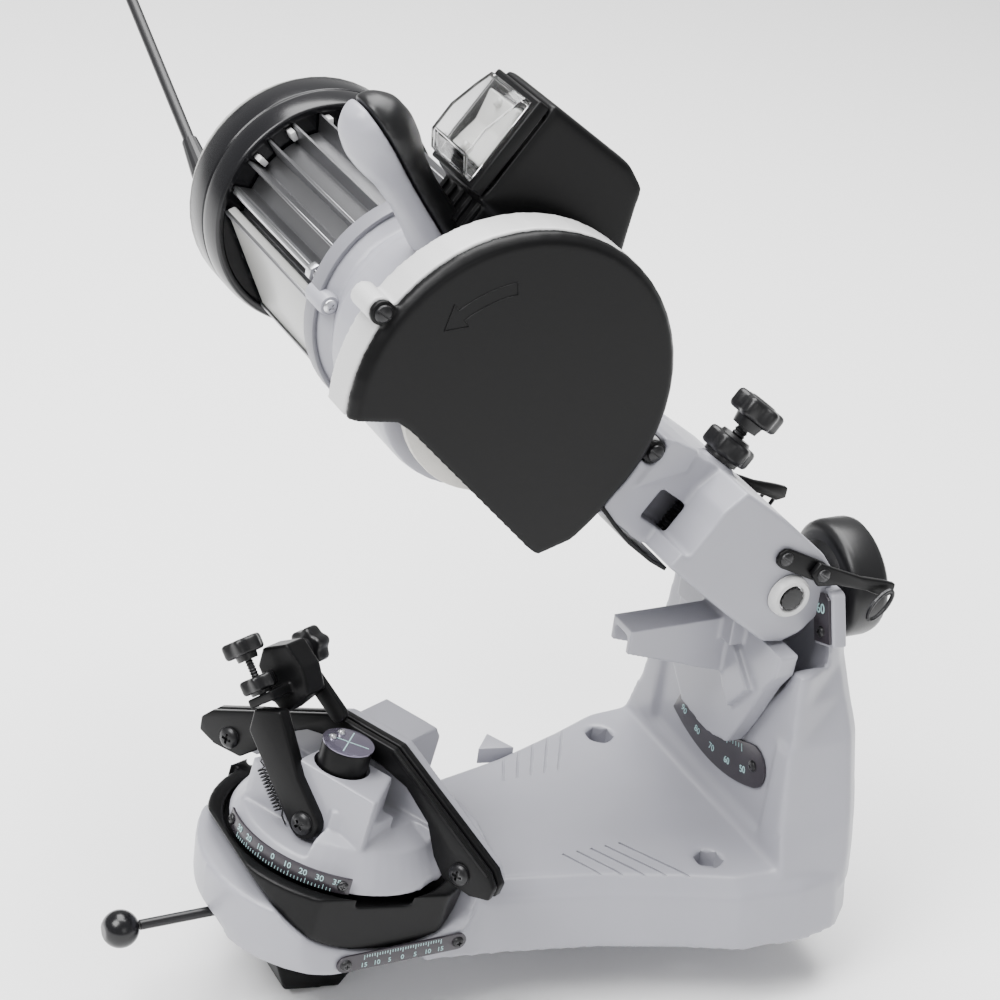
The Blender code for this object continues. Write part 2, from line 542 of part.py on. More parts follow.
def make_motor(head):
    """Finned motor body with a flat underside, its fan cowl and rear cap, and the bolts through it."""
    fins = []
    for i in range(72):
        angle = math.radians(5 * i)
        radius = 56.5 if i % 3 == 0 else 46
        fins.append((-REACH + radius * math.cos(angle), radius * math.sin(angle)))
    body = prism("motor_body", fins, MOTOR_END, -84 - GAP, ALUMINIUM, axis="X", parent=head)
    bore = rod("stator_bore_tool", 41, -210, -60, ALUMINIUM, axis="X", steps=36, centre=(-REACH, 0), parent=head)
    flat = block("motor_flat_tool", (-210, -REACH - 80, -80), (-60, -REACH + 80, -45), ALUMINIUM, parent=head)
    carve(body, bore, flat)
    rod("stator", 40.7, -172, -104, COPPER, axis="X", steps=32, bore=26, centre=(-REACH, 0), parent=head)
    ring = [(59, -189), (62, -193), (63, -204), (62, -222), (57.5, -222), (57.5, -194), (44, -194), (44, -190.6),
            (57, -190.6)]
    turned("fan_cowl", ring, GLOSS, axis="X", steps=48, centre=(-REACH, 0), parent=head)
    cap = [(57.2, -208), (57.2, -222 - GAP), (62, -222 - GAP), (59, -229), (50, -234), (30, -237), (0, -238), (0, -235), (29, -234),
           (48, -231), (54, -227), (54, -208)]
    shell = turned("rear_cap", cap, PALE, axis="X", steps=48, centre=(-REACH, 0), parent=head)
    spot = cord_frame("cord_way_frame")
    way = rod("cord_way_tool", GLAND_R + GAP, -30, 30, PALE, parent=spot)
    carve(shell, way)


def make_spindle(head):
    """Everything that spins: shaft, rotor, bearings' inner line, wheel, flanges, nut and fan."""
    spin = frame("spindle_frame", (0, -REACH, 0), parent=head)
    shaft = [(0, 16.5), (5.5, 16.5), (5.5, 7), (19, 7), (19, 4), (10, 4), (10, -4), (7.5, -4), (7.5, FAN_END - 2), (0, FAN_END - 2)]
    turned("motor_shaft", shaft, STEEL, axis="X", steps=20, parent=spin)
    rod("rotor", 25.4, -170, -106, STEEL, axis="X", steps=28, bore=7.8, parent=spin)
    rod("grinding_wheel", WHEEL_R, 7 + GAP, 7 + GAP + WHEEL_WIDTH, STONE, axis="X", steps=48, bore=5.8, parent=spin)
    rod("outer_flange", 19, 12.4, 14, STEEL, axis="X", steps=24, bore=5.8, parent=spin)
    nut = prism("wheel_nut", arc((0, 0), 9.5, 0, 300, 5), 14 + GAP, 20, STEEL, axis="X", parent=spin)
    nut_bore = rod("nut_bore_tool", 5.8, 10, 17, STEEL, axis="X", parent=spin)
    carve(nut, nut_bore)
    hub = rod("cooling_fan", 14, FAN_END, FAN_END + 9, BLACK, axis="X", steps=24, parent=spin, bore=7.8)
    for i in range(8):
        blade = block("blade_tool_%d" % i, (FAN_END + 0.5, -1, 12), (FAN_END + 8, 1, 48), BLACK, parent=spin,
                      turn=(45 * i, 0, 0))
        weld(hub, blade)


def make_bearings(head):
    """Front and rear ball bearings as plain rings round the shaft."""
    for place, x in (("front", -96), ("rear", -186)):
        rod(place + "_bearing", 17.5, x, x + 11, STEEL, axis="X", steps=24, bore=7.8, centre=(-REACH, 0), parent=head)


def make_handle(head):
    """The grip on top of the head, in a grey front half and a black rear half."""
    grip = frame("handle_frame", (-36, -235, 36), (70.5, 0, 0), parent=head)
    stations = [(14, 0), (12.8, 12), (12, 26), (13, 40), (16, 52), (17, 62), (15, 72), (9, 79), (3, 81)]
    front = loft("handle_front", [half_round(r, z, -1) for r, z in stations], GREY, parent=grip)
    rear = loft("handle_rear", [half_round(r, z, 1) for r, z in stations], BLACK, parent=grip)
    return front, rear


def make_switch(head):
    """The switch box behind the guard, with its frame, rocker and clear cover."""
    shell = [(-246, 60), (-246, 114), (-192, 114), (-178, 109), (-174, 100), (-163, 78), (-160, 60)]
    box = prism("switch_box", shell, -58, -10, BLACK, axis="X", parent=head)
    hollow = block("switch_hollow_tool", (-55, -247, 66), (-13, -168, 108), BLACK, parent=head)
    carve(box, hollow)
    surround = block("switch_frame", (-53, -253, 62), (-11, -246 - GAP, 111), BLACK, parent=head)
    opening = block("switch_opening_tool", (-46, -260, 70), (-18, -240, 104), BLACK, parent=head)
    carve(surround, opening)
    rocker = frame("rocker_frame", (-32, -249, 87), (0, 0, 0), parent=head)
    wave = [(5, -16), (5, 16), (-6, 15), (-2, 0), (-4.5, -15)]
    prism("switch_rocker", wave, -13, 13, PALE, axis="X", parent=rocker)
    lid = frame("switch_lid_frame", (-32, -253 - GAP, 108), (0, 0, 0), parent=head)
    bulge = [(0, 0), (0, -44), (-5, -43), (-11, -36), (-11, -22), (-7, -8), (-4, 0)]
    clear = prism("switch_lid", bulge, -17, 17, CLEAR, axis="X", parent=lid)
    room = [(3, -2), (3, -42), (-4, -41.5), (-9.6, -35), (-9.6, -22.3), (-6, -9), (-3.4, -2)]
    cavity = prism("lid_room_tool", room, -15.6, 15.6, CLEAR, axis="X", parent=lid)
    carve(clear, cavity)


def cord_frame(name):
    """A frame at the cord's exit with its Z along the cord."""
    spot = frame(name, CORD_EXIT)
    spot.rotation_euler = Vector(CORD_WAY).to_track_quat("Z", "Y").to_euler()
    return spot


def make_cord():
    """The mains cord, drawn straight up and away from the rear cap, with its gland and plug."""
    spot = cord_frame("cord_frame")
    gland = [(0, 24), (CORD_R + 1.2, 24), (GLAND_R, 2), (GLAND_R, -7), (0, -7)]
    turned("cord_gland", gland, BLACK, steps=16, parent=spot)
    curve = bpy.data.curves.new("mains_cord", "CURVE")
    curve.dimensions = "3D"
    curve.bevel_depth = CORD_R * MM
    curve.bevel_resolution = 2
    curve.use_fill_caps = True
    line = curve.splines.new("POLY")
    line.points.add(CORD_POINTS - 1)
    low = 24 + GAP
    for i, point in enumerate(line.points):
        along = low + (CORD_LENGTH - low) * i / (CORD_POINTS - 1)
        point.co = (0, 0, along * MM, 1)
    made = bpy.data.objects.new("mains_cord", curve)
    bpy.context.scene.collection.objects.link(made)
    made.parent = spot
    curve.materials.append(CORD)
    low = CORD_LENGTH + GAP
    shape = [(0, low + 34), (13, low + 34), (15, low + 30), (15, low + 18), (9, low + 8), (5, low), (0, low)]
    turned("mains_plug", shape, BLACK, steps=20, parent=spot)


def half_round(radius, z, side, count=10):
    """Half of a round section on one side of the joint between the handle's halves."""
    ring = []
    for x, y in arc((0, 0), radius, 0, 180, count):
        ring.append((x, side * (y + GAP / 2), z))
    return ring


def main():
    """Build every group of the grinder in its place."""
    make_base()
    make_base_plates()
    cradle = frame("cradle_frame", (0, VISE_Y, VISE_AXIS_Z), (-VISE_TILT, 0, 0))
    make_cradle(cradle)
    make_cradle_knob(frame("cradle_knob_frame", (0, 0, -100), parent=cradle))
    table = frame("turntable_frame", (0, 0, 0), (0, 0, VISE_TURN), parent=cradle)
    make_turntable(table)
    make_front_jaw(table)
    make_eccentric(table)
    make_clamp_lever()
    make_chain_stop(table)
    tilt = frame("tilt_frame", (0, RECESS_Y, TILT_Z))
    make_tilt_bracket(tilt)
    make_tilt_pin(tilt, frame("tilt_knob_frame", (0, 45, 0), parent=tilt))
    head = frame("head_frame", (0, HUB_Y, HUB_Z), (-HEAD_RAISE, 0, 0))
    make_arm(head)
    make_hub(head)
    make_depth_screw(head, frame("depth_screw_frame", (*SCREW_AT, 0), parent=head),
                     frame("depth_lock_frame", (*SCREW_AT, 0), parent=head))
    for side, s in (("right", 1), ("left", -1)):
        make_catch(head, side, s)
        make_pull_ring(bpy.data.objects[side + "_lever_frame"], side, s)
    make_guard(head)
    make_housing(head)
    make_motor(head)
    make_bearings(head)
    make_spindle(head)
    make_handle(head)
    make_switch(head)
    make_cord()


main()
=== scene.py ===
"""Bench-mounted saw-chain grinder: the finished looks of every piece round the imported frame.

Each group of the machine is a class that builds its meshes in millimetres, in its own frame,
and hands them to the Workshop, which bakes them into place and ties them to a body.
"""

import json
import logging
import math
from collections.abc import Callable, Iterable, Sequence
from dataclasses import dataclass
from enum import Enum

import bmesh
import bpy
from mathutils import Matrix, Vector

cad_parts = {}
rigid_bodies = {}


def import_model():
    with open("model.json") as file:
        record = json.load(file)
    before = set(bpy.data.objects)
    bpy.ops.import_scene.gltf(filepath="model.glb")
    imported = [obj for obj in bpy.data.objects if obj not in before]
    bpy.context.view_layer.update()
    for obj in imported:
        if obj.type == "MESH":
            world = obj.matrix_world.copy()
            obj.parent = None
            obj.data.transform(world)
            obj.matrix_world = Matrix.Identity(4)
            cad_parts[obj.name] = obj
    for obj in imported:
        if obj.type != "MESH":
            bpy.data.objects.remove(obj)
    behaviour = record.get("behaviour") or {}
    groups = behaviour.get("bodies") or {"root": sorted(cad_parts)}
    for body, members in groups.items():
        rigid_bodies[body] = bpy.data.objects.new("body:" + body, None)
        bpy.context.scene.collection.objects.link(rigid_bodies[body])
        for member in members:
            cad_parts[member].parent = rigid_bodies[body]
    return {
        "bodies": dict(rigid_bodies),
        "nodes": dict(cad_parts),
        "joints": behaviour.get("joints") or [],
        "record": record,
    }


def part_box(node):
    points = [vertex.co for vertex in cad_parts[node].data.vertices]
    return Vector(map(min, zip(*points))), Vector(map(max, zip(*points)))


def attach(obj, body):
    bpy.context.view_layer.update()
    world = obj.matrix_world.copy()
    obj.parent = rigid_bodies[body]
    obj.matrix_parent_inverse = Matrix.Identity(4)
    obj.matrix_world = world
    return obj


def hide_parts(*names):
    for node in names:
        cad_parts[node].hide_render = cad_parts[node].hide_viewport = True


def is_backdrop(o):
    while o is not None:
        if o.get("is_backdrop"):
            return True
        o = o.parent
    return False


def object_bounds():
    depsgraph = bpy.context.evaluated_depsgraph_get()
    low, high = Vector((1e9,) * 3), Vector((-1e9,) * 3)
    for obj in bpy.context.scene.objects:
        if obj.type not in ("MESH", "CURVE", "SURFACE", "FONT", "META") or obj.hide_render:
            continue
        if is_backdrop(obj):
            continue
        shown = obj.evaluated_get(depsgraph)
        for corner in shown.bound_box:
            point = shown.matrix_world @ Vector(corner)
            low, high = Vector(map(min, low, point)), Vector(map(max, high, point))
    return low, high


LOG = logging.getLogger("grinder")
MM = 0.001
Point2 = tuple[float, float]
Colour = tuple[float, float, float]
Tree = bpy.types.NodeTree
Mesh = bmesh.types.BMesh

CREASE = 35.0        # degrees past which an edge stays sharp
CUT_CREASE = 38.0    # the same for a casting with shapes cut out of it
MERGE = 1e-4         # millimetres within which points are one
BUMP_REACH = 0.0004  # metres that the deepest bump stands for
COAT_ROUGHNESS = 0.12
CLEAR_IOR = 1.45
DUST: Colour = (0.55, 0.54, 0.52)
DOME = (0.3, 0.6, 0.9, 1.2, 1.45)  # radians from its top at which a screw head's profile has points
DOME_RIM = 0.25      # share of a screw head's height that its rim takes
SLOT = 0.13          # half the width of a driver's slot, as a share of the head's radius
SLOT_FLOOR = 0.45    # where the slot ends, as a share of the head's height
FACING_X = Matrix(((0, 0, 1), (1, 0, 0), (0, 1, 0)))   # turns what was made flat or along Z to face +X
FACING_Y = Matrix(((1, 0, 0), (0, 0, -1), (0, 1, 0)))  # turns it to face -Y, where the front is


def new_node(tree: Tree, kind: str, values: dict[str | int, float | Colour] | None = None,
             **settings: str | int | Tree) -> bpy.types.Node:
    """Place a shader node.

    Args:
        tree: the tree it goes into.
        kind: its type, without the ShaderNode that all of them start with.
        values: what its inputs are set to, by name or number.
        settings: what its own properties are set to.

    Returns:
        The node.
    """
    node = tree.nodes.new("ShaderNode" + kind)
    for key, value in settings.items():
        setattr(node, key, value)
    for key, value in (values or {}).items():
        node.inputs[key].default_value = value
    return node


def wire(tree: Tree, *pairs: tuple[bpy.types.NodeSocket, bpy.types.NodeSocket]) -> None:
    """Link every pair of an output and an input."""
    for output, entry in pairs:
        tree.links.new(output, entry)


class Axis(Enum):
    """The direction that a flat outline is pushed along, or a profile is turned about."""

    X = "X"
    Y = "Y"
    Z = "Z"

    def turn(self) -> Matrix:
        """Return the matrix that lays a shape made along Z onto this axis."""
        if self is Axis.X:
            return FACING_X.to_4x4()
        if self is Axis.Y:
            return Matrix(((1, 0, 0), (0, 0, 1), (0, 1, 0))).to_4x4()
        return Matrix.Identity(4)


# ------------------------------------------------------------------ finishes


class NodeGroups:
    """Shader node groups that several finishes share, each built once."""

    def __init__(self) -> None:
        """Build the groups."""
        self.speckle = self._speckle()
        # Edge mask: worn edges, and a painted highlight along them.
        self.wear_and_highlight = self._wear_and_highlight()
        self.dust = self._dust()
        self.brushed = self._brushed()

    @staticmethod
    def _new(name: str, inputs: dict[str, float],
             outputs: Sequence[str]) -> tuple[Tree, bpy.types.Node, bpy.types.Node]:
        """Start a group with named sockets.

        Args:
            name: the group's name.
            inputs: the default of each input, by name.
            outputs: the name of each output.

        Returns:
            The tree with its input and output nodes.
        """
        tree = bpy.data.node_groups.new(name, "ShaderNodeTree")
        for label, default in inputs.items():
            socket = tree.interface.new_socket(label, in_out="INPUT", socket_type="NodeSocketFloat")
            socket.default_value = default
        for label in outputs:
            tree.interface.new_socket(label, in_out="OUTPUT", socket_type="NodeSocketFloat")
        return tree, tree.nodes.new("NodeGroupInput"), tree.nodes.new("NodeGroupOutput")

    def _speckle(self) -> Tree:
        """Fine moulded or sprayed texture: a mottled value and a height."""
        tree, start, end = self._new("fine_speckle", {"Scale": 900.0, "Contrast": 0.1}, ("Mottle", "Height"))
        place = new_node(tree, "TexCoord").outputs["Object"]
        fine = new_node(tree, "TexNoise", {"Detail": 3.0})
        broad = new_node(tree, "TexNoise", {"Scale": 22.0, "Detail": 4.0})
        swing = new_node(tree, "Math", {1: 0.5}, operation="SUBTRACT")
        scaled = new_node(tree, "Math", {2: 1.0}, operation="MULTIPLY_ADD")
        wire(tree, (place, fine.inputs["Vector"]), (place, broad.inputs["Vector"]),
             (start.outputs["Scale"], fine.inputs["Scale"]), (broad.outputs["Fac"], swing.inputs[0]),
             (swing.outputs[0], scaled.inputs[0]), (start.outputs["Contrast"], scaled.inputs[1]),
             (scaled.outputs[0], end.inputs["Mottle"]), (fine.outputs["Fac"], end.inputs["Height"]))
        return tree

    def _wear_and_highlight(self) -> Tree:
        """A mask that is 1 on worn edges and paints a highlight along them: where a rounded normal leaves the
        true one.
        """
        tree, start, end = self._new("edge_wear_and_highlight", {"Radius": 0.001, "Amount": 1.0}, ("Mask",))
        rounded = new_node(tree, "Bevel", samples=4)
        shape = new_node(tree, "NewGeometry")
        dot = new_node(tree, "VectorMath", operation="DOT_PRODUCT")
        ramp = new_node(tree, "MapRange", {"From Min": 0.985, "From Max": 0.90})
        place = new_node(tree, "TexCoord")
        patch = new_node(tree, "TexNoise", {"Scale": 160.0, "Detail": 5.0})
        gate = new_node(tree, "MapRange", {"From Min": 0.45, "From Max": 0.62})
        both = new_node(tree, "Math", operation="MULTIPLY")
        much = new_node(tree, "Math", operation="MULTIPLY")
        wire(tree, (start.outputs["Radius"], rounded.inputs["Radius"]),
             (rounded.outputs["Normal"], dot.inputs[0]), (shape.outputs["Normal"], dot.inputs[1]),
             (dot.outputs["Value"], ramp.inputs["Value"]), (place.outputs["Object"], patch.inputs["Vector"]),
             (patch.outputs["Fac"], gate.inputs["Value"]), (ramp.outputs["Result"], both.inputs[0]),
             (gate.outputs["Result"], both.inputs[1]), (both.outputs[0], much.inputs[0]),
             (start.outputs["Amount"], much.inputs[1]), (much.outputs[0], end.inputs["Mask"]))
        return tree

    def _dust(self) -> Tree:
        """A thin mask of dust on faces that look up."""
        tree, start, end = self._new("settled_dust", {"Amount": 0.1}, ("Mask",))
        shape = new_node(tree, "NewGeometry")
        split = new_node(tree, "SeparateXYZ")
        up = new_node(tree, "MapRange", {"From Min": 0.3, "From Max": 1.0})
        place = new_node(tree, "TexCoord")
        cloud = new_node(tree, "TexNoise", {"Scale": 45.0, "Detail": 8.0})
        part = new_node(tree, "Math", operation="MULTIPLY")
        much = new_node(tree, "Math", operation="MULTIPLY")
        wire(tree, (shape.outputs["Normal"], split.inputs[0]), (split.outputs["Z"], up.inputs["Value"]),
             (place.outputs["Object"], cloud.inputs["Vector"]), (up.outputs["Result"], part.inputs[0]),
             (cloud.outputs["Fac"], part.inputs[1]), (part.outputs[0], much.inputs[0]),
             (start.outputs["Amount"], much.inputs[1]), (much.outputs[0], end.inputs["Mask"]))
        return tree

    def _brushed(self) -> Tree:
        """Fine lines across the machine's X, as left by turning or drawing."""
        tree, start, end = self._new("brushed_lines", {"Scale": 60.0}, ("Lines",))
        place = new_node(tree, "TexCoord")
        stretch = new_node(tree, "Mapping", {"Scale": (40.0, 1.0, 1.0)})
        lines = new_node(tree, "TexNoise", {"Detail": 4.0})
        wire(tree, (place.outputs["Object"], stretch.inputs["Vector"]),
             (stretch.outputs["Vector"], lines.inputs["Vector"]),
             (start.outputs["Scale"], lines.inputs["Scale"]), (lines.outputs["Fac"], end.inputs["Lines"]))
        return tree


@dataclass(frozen=True)
class Finish:
    """One surface finish, made as a Principled material with the shared groups.

    Args:
        name: the material's name.
        colour: the base colour, linear.
        roughness: the mean roughness.
        metallic: 1 on bare metal.
        grain: scale of the fine texture, per metre.
        depth: how deep the fine texture is.
        mottle: how much the colour drifts over the piece.
        wear_and_highlight_colour: colour painted on worn edges, which is also a painted highlight along them.
        wear_and_highlight: how much of the edges is worn and lit by a painted highlight.
        dust: how much dust lies on top faces.
        coat: weight of a clear gloss coat.
        brushed: whether the fine texture is drawn lines.
        clear: how much light passes through.
        specular: how strongly a non-metal reflects.
    """

    name: str
    colour: Colour
    roughness: float
    metallic: float = 0.0
    grain: float = 1400.0
    depth: float = 0.05
    mottle: float = 0.12
    # Edge colour and its amount: wear, and a painted highlight on the edges.
    wear_and_highlight_colour: Colour = (0.6, 0.6, 0.6)
    wear_and_highlight: float = 0.0
    dust: float = 0.0
    coat: float = 0.0
    brushed: bool = False
    clear: float = 0.0
    specular: float = 0.5

    def make(self, groups: NodeGroups) -> bpy.types.Material:
        """Build the material.

        Args:
            groups: the shared node groups.

        Returns:
            The finished material.
        """
        material = bpy.data.materials.new(self.name)
        material.use_nodes = True
        tree = material.node_tree
        shader = tree.nodes["Principled BSDF"]
        shader.inputs["Metallic"].default_value = self.metallic
        shader.inputs["Coat Weight"].default_value = self.coat
        shader.inputs["Coat Roughness"].default_value = COAT_ROUGHNESS
        shader.inputs["Specular IOR Level"].default_value = self.specular
        if self.clear:
            shader.inputs["Transmission Weight"].default_value = self.clear
            shader.inputs["IOR"].default_value = CLEAR_IOR
        self._paint(tree, shader, groups)
        return material

    @staticmethod
    def _group(tree: Tree, group: Tree) -> bpy.types.Node:
        """Place a shared group in this material."""
        return new_node(tree, "Group", node_tree=group)

    def _paint(self, tree: Tree, shader: bpy.types.Node, groups: NodeGroups) -> None:
        """Wire colour, roughness and bump.

        Args:
            tree: the material's node tree.
            shader: its Principled node.
            groups: the shared node groups.
        """
        fine = self._group(tree, groups.speckle)
        fine.inputs["Scale"].default_value = self.grain
        fine.inputs["Contrast"].default_value = self.mottle
        tint = new_node(tree, "VectorMath", operation="SCALE")
        tint.inputs[0].default_value = self.colour
        wire(tree, (fine.outputs["Mottle"], tint.inputs["Scale"]))
        colour = tint.outputs["Vector"]
        # Lighter colour on the edges: worn paint, and a painted highlight.
        if self.wear_and_highlight:
            wear_and_highlight = self._group(tree, groups.wear_and_highlight)
            wear_and_highlight.inputs["Amount"].default_value = self.wear_and_highlight
            colour = self._blend(tree, colour, self.wear_and_highlight_colour, wear_and_highlight.outputs["Mask"])
        if self.dust:
            dust = self._group(tree, groups.dust)
            dust.inputs["Amount"].default_value = self.dust
            colour = self._blend(tree, colour, DUST, dust.outputs["Mask"])
        rough = new_node(tree, "Math", {1: self.roughness}, operation="MULTIPLY", use_clamp=True)
        height = fine.outputs["Height"]
        if self.brushed:
            height = self._group(tree, groups.brushed).outputs["Lines"]
        bump = new_node(tree, "Bump", {"Strength": self.depth, "Distance": BUMP_REACH})
        wire(tree, (colour, shader.inputs["Base Color"]), (fine.outputs["Mottle"], rough.inputs[0]),
             (rough.outputs[0], shader.inputs["Roughness"]), (height, bump.inputs["Height"]),
             (bump.outputs["Normal"], shader.inputs["Normal"]))

    @staticmethod
    def _blend(tree: Tree, below: bpy.types.NodeSocket, above: Colour,
               mask: bpy.types.NodeSocket) -> bpy.types.NodeSocket:
        """Mix a colour over another by a mask and return the result's socket."""
        mix = new_node(tree, "Mix", data_type="RGBA")
        wire(tree, (mask, mix.inputs["Factor"]), (below, mix.inputs["A"]))
        mix.inputs["B"].default_value = (*above, 1.0)
        return mix.outputs["Result"]


class Finishes:
    """Every finish on the machine, looked up by name."""

    def __init__(self) -> None:
        """Make the materials."""
        groups = NodeGroups()
        # Each worn colour is lighter than its base, so the edges carry a painted highlight as well as wear.
        self.grey = Finish("cast_grey_paint", (0.29, 0.29, 0.325), 0.40, grain=900, depth=0.10, mottle=0.10,
                           wear_and_highlight_colour=(0.62, 0.62, 0.64), wear_and_highlight=0.25, dust=0.05, coat=0.15).make(groups)
        self.pale = Finish("pale_cast_paint", (0.52, 0.52, 0.52), 0.42, grain=900, depth=0.08, mottle=0.08,
                           wear_and_highlight_colour=(0.8, 0.8, 0.8), wear_and_highlight=0.2, coat=0.12).make(groups)
        self.flange = Finish("dull_grey_paint", (0.16, 0.16, 0.18), 0.45, grain=900, depth=0.12).make(groups)
        self.black = Finish("moulded_black", (0.0035, 0.0035, 0.0038), 0.36, grain=2600, depth=0.10,
                            mottle=0.2, wear_and_highlight_colour=(0.03, 0.03, 0.031), wear_and_highlight=0.3, dust=0.004,
                            specular=0.15).make(groups)
        self.knob = Finish("knob_black", (0.005, 0.005, 0.0056), 0.34, grain=1900, depth=0.10, mottle=0.2,
                           wear_and_highlight_colour=(0.04, 0.04, 0.042), wear_and_highlight=0.3, dust=0.006, specular=0.35).make(groups)
        self.gloss = Finish("gloss_charcoal", (0.004, 0.004, 0.005), 0.24, grain=500, depth=0.02, mottle=0.15,
                            specular=0.35, coat=0.05).make(groups)
        self.cap = Finish("cap_grey", (0.30, 0.30, 0.29), 0.34, grain=1200, depth=0.05, coat=0.1).make(groups)
        self.steel = Finish("bright_steel", (0.62, 0.62, 0.64), 0.28, metallic=1.0, depth=0.06, mottle=0.2,
                            brushed=True).make(groups)
        self.dark_steel = Finish("blacked_steel", (0.010, 0.010, 0.011), 0.34, metallic=0.4, grain=1800,
                                 depth=0.06, mottle=0.3, wear_and_highlight_colour=(0.3, 0.3, 0.31), wear_and_highlight=0.3).make(groups)
        self.aluminium = Finish("machined_aluminium", (0.27, 0.27, 0.28), 0.36, metallic=1.0, depth=0.14,
                                mottle=0.25, brushed=True).make(groups)
        self.copper = Finish("winding_copper", (0.55, 0.25, 0.12), 0.4, metallic=1.0).make(groups)
        self.stone = Finish("bonded_grit", (0.66, 0.64, 0.60), 0.9, grain=2400, depth=0.9,
                            mottle=0.2).make(groups)
        self.plate = Finish("scale_plate", (0.03, 0.026, 0.032), 0.30, metallic=0.2, depth=0.03,
                            mottle=0.5).make(groups)
        self.disc = Finish("marked_disc", (0.22, 0.20, 0.27), 0.16, metallic=0.8, depth=0.02,
                           mottle=0.9).make(groups)
        self.print = Finish("pale_print", (0.34, 0.52, 0.53), 0.5, depth=0.01, mottle=0.05).make(groups)
        self.white = Finish("white_rocker", (0.74, 0.74, 0.72), 0.3, depth=0.02, coat=0.3).make(groups)
        self.clear = Finish("clear_cover", (0.93, 0.93, 0.93), 0.07, depth=0.01, mottle=0.02,
                            clear=1.0).make(groups)
        self.rubber = Finish("cord_rubber", (0.006, 0.006, 0.007), 0.42, grain=1500, depth=0.08).make(groups)


# ------------------------------------------------------------------ shapes and places


@dataclass(frozen=True)
class Place:
    """A frame of the machine: where a group's own axes lie in the whole object's frame."""

    matrix: Matrix

    @classmethod
    def at(cls, origin: Sequence[float], up: Sequence[float], along_y: Sequence[float]) -> "Place":
        """Make a place from a joint's point and directions.

        Args:
            origin: its zero point in metres.
            up: the direction of its Z.
            along_y: roughly the direction of its Y.

        Returns:
            The place.
        """
        z = Vector(up).normalized()
        x = Vector(along_y).cross(z).normalized()
        y = z.cross(x)
        turn = Matrix((x, y, z)).transposed().to_4x4()
        return cls(Matrix.Translation(Vector(origin)) @ turn)

    def moved(self, shift: Sequence[float], turn: Matrix | None = None) -> "Place":
        """Shift a place and turn it there.

        Args:
            shift: how far, in millimetres along this place's own axes.
            turn: the rotation made at the new spot, if any.

        Returns:
            The new place.
        """
        step = Matrix.Translation(Vector(shift) * MM)
        return Place(self.matrix @ step @ (turn.to_4x4() if turn else Matrix.Identity(4)))


def arc(centre: Point2, radius: float, start: float, end: float, count: int) -> list[Point2]:
    """Lay points on an arc.

    Args:
        centre: the arc's centre.
        radius: its radius.
        start: the first point's angle in degrees.
        end: the last point's angle.
        count: how many steps lie between them.

    Returns:
        The points, one more than the steps.
    """
    points = []
    for i in range(count + 1):
        angle = math.radians(start + (end - start) * i / count)
        points.append((centre[0] + radius * math.cos(angle), centre[1] + radius * math.sin(angle)))
    return points


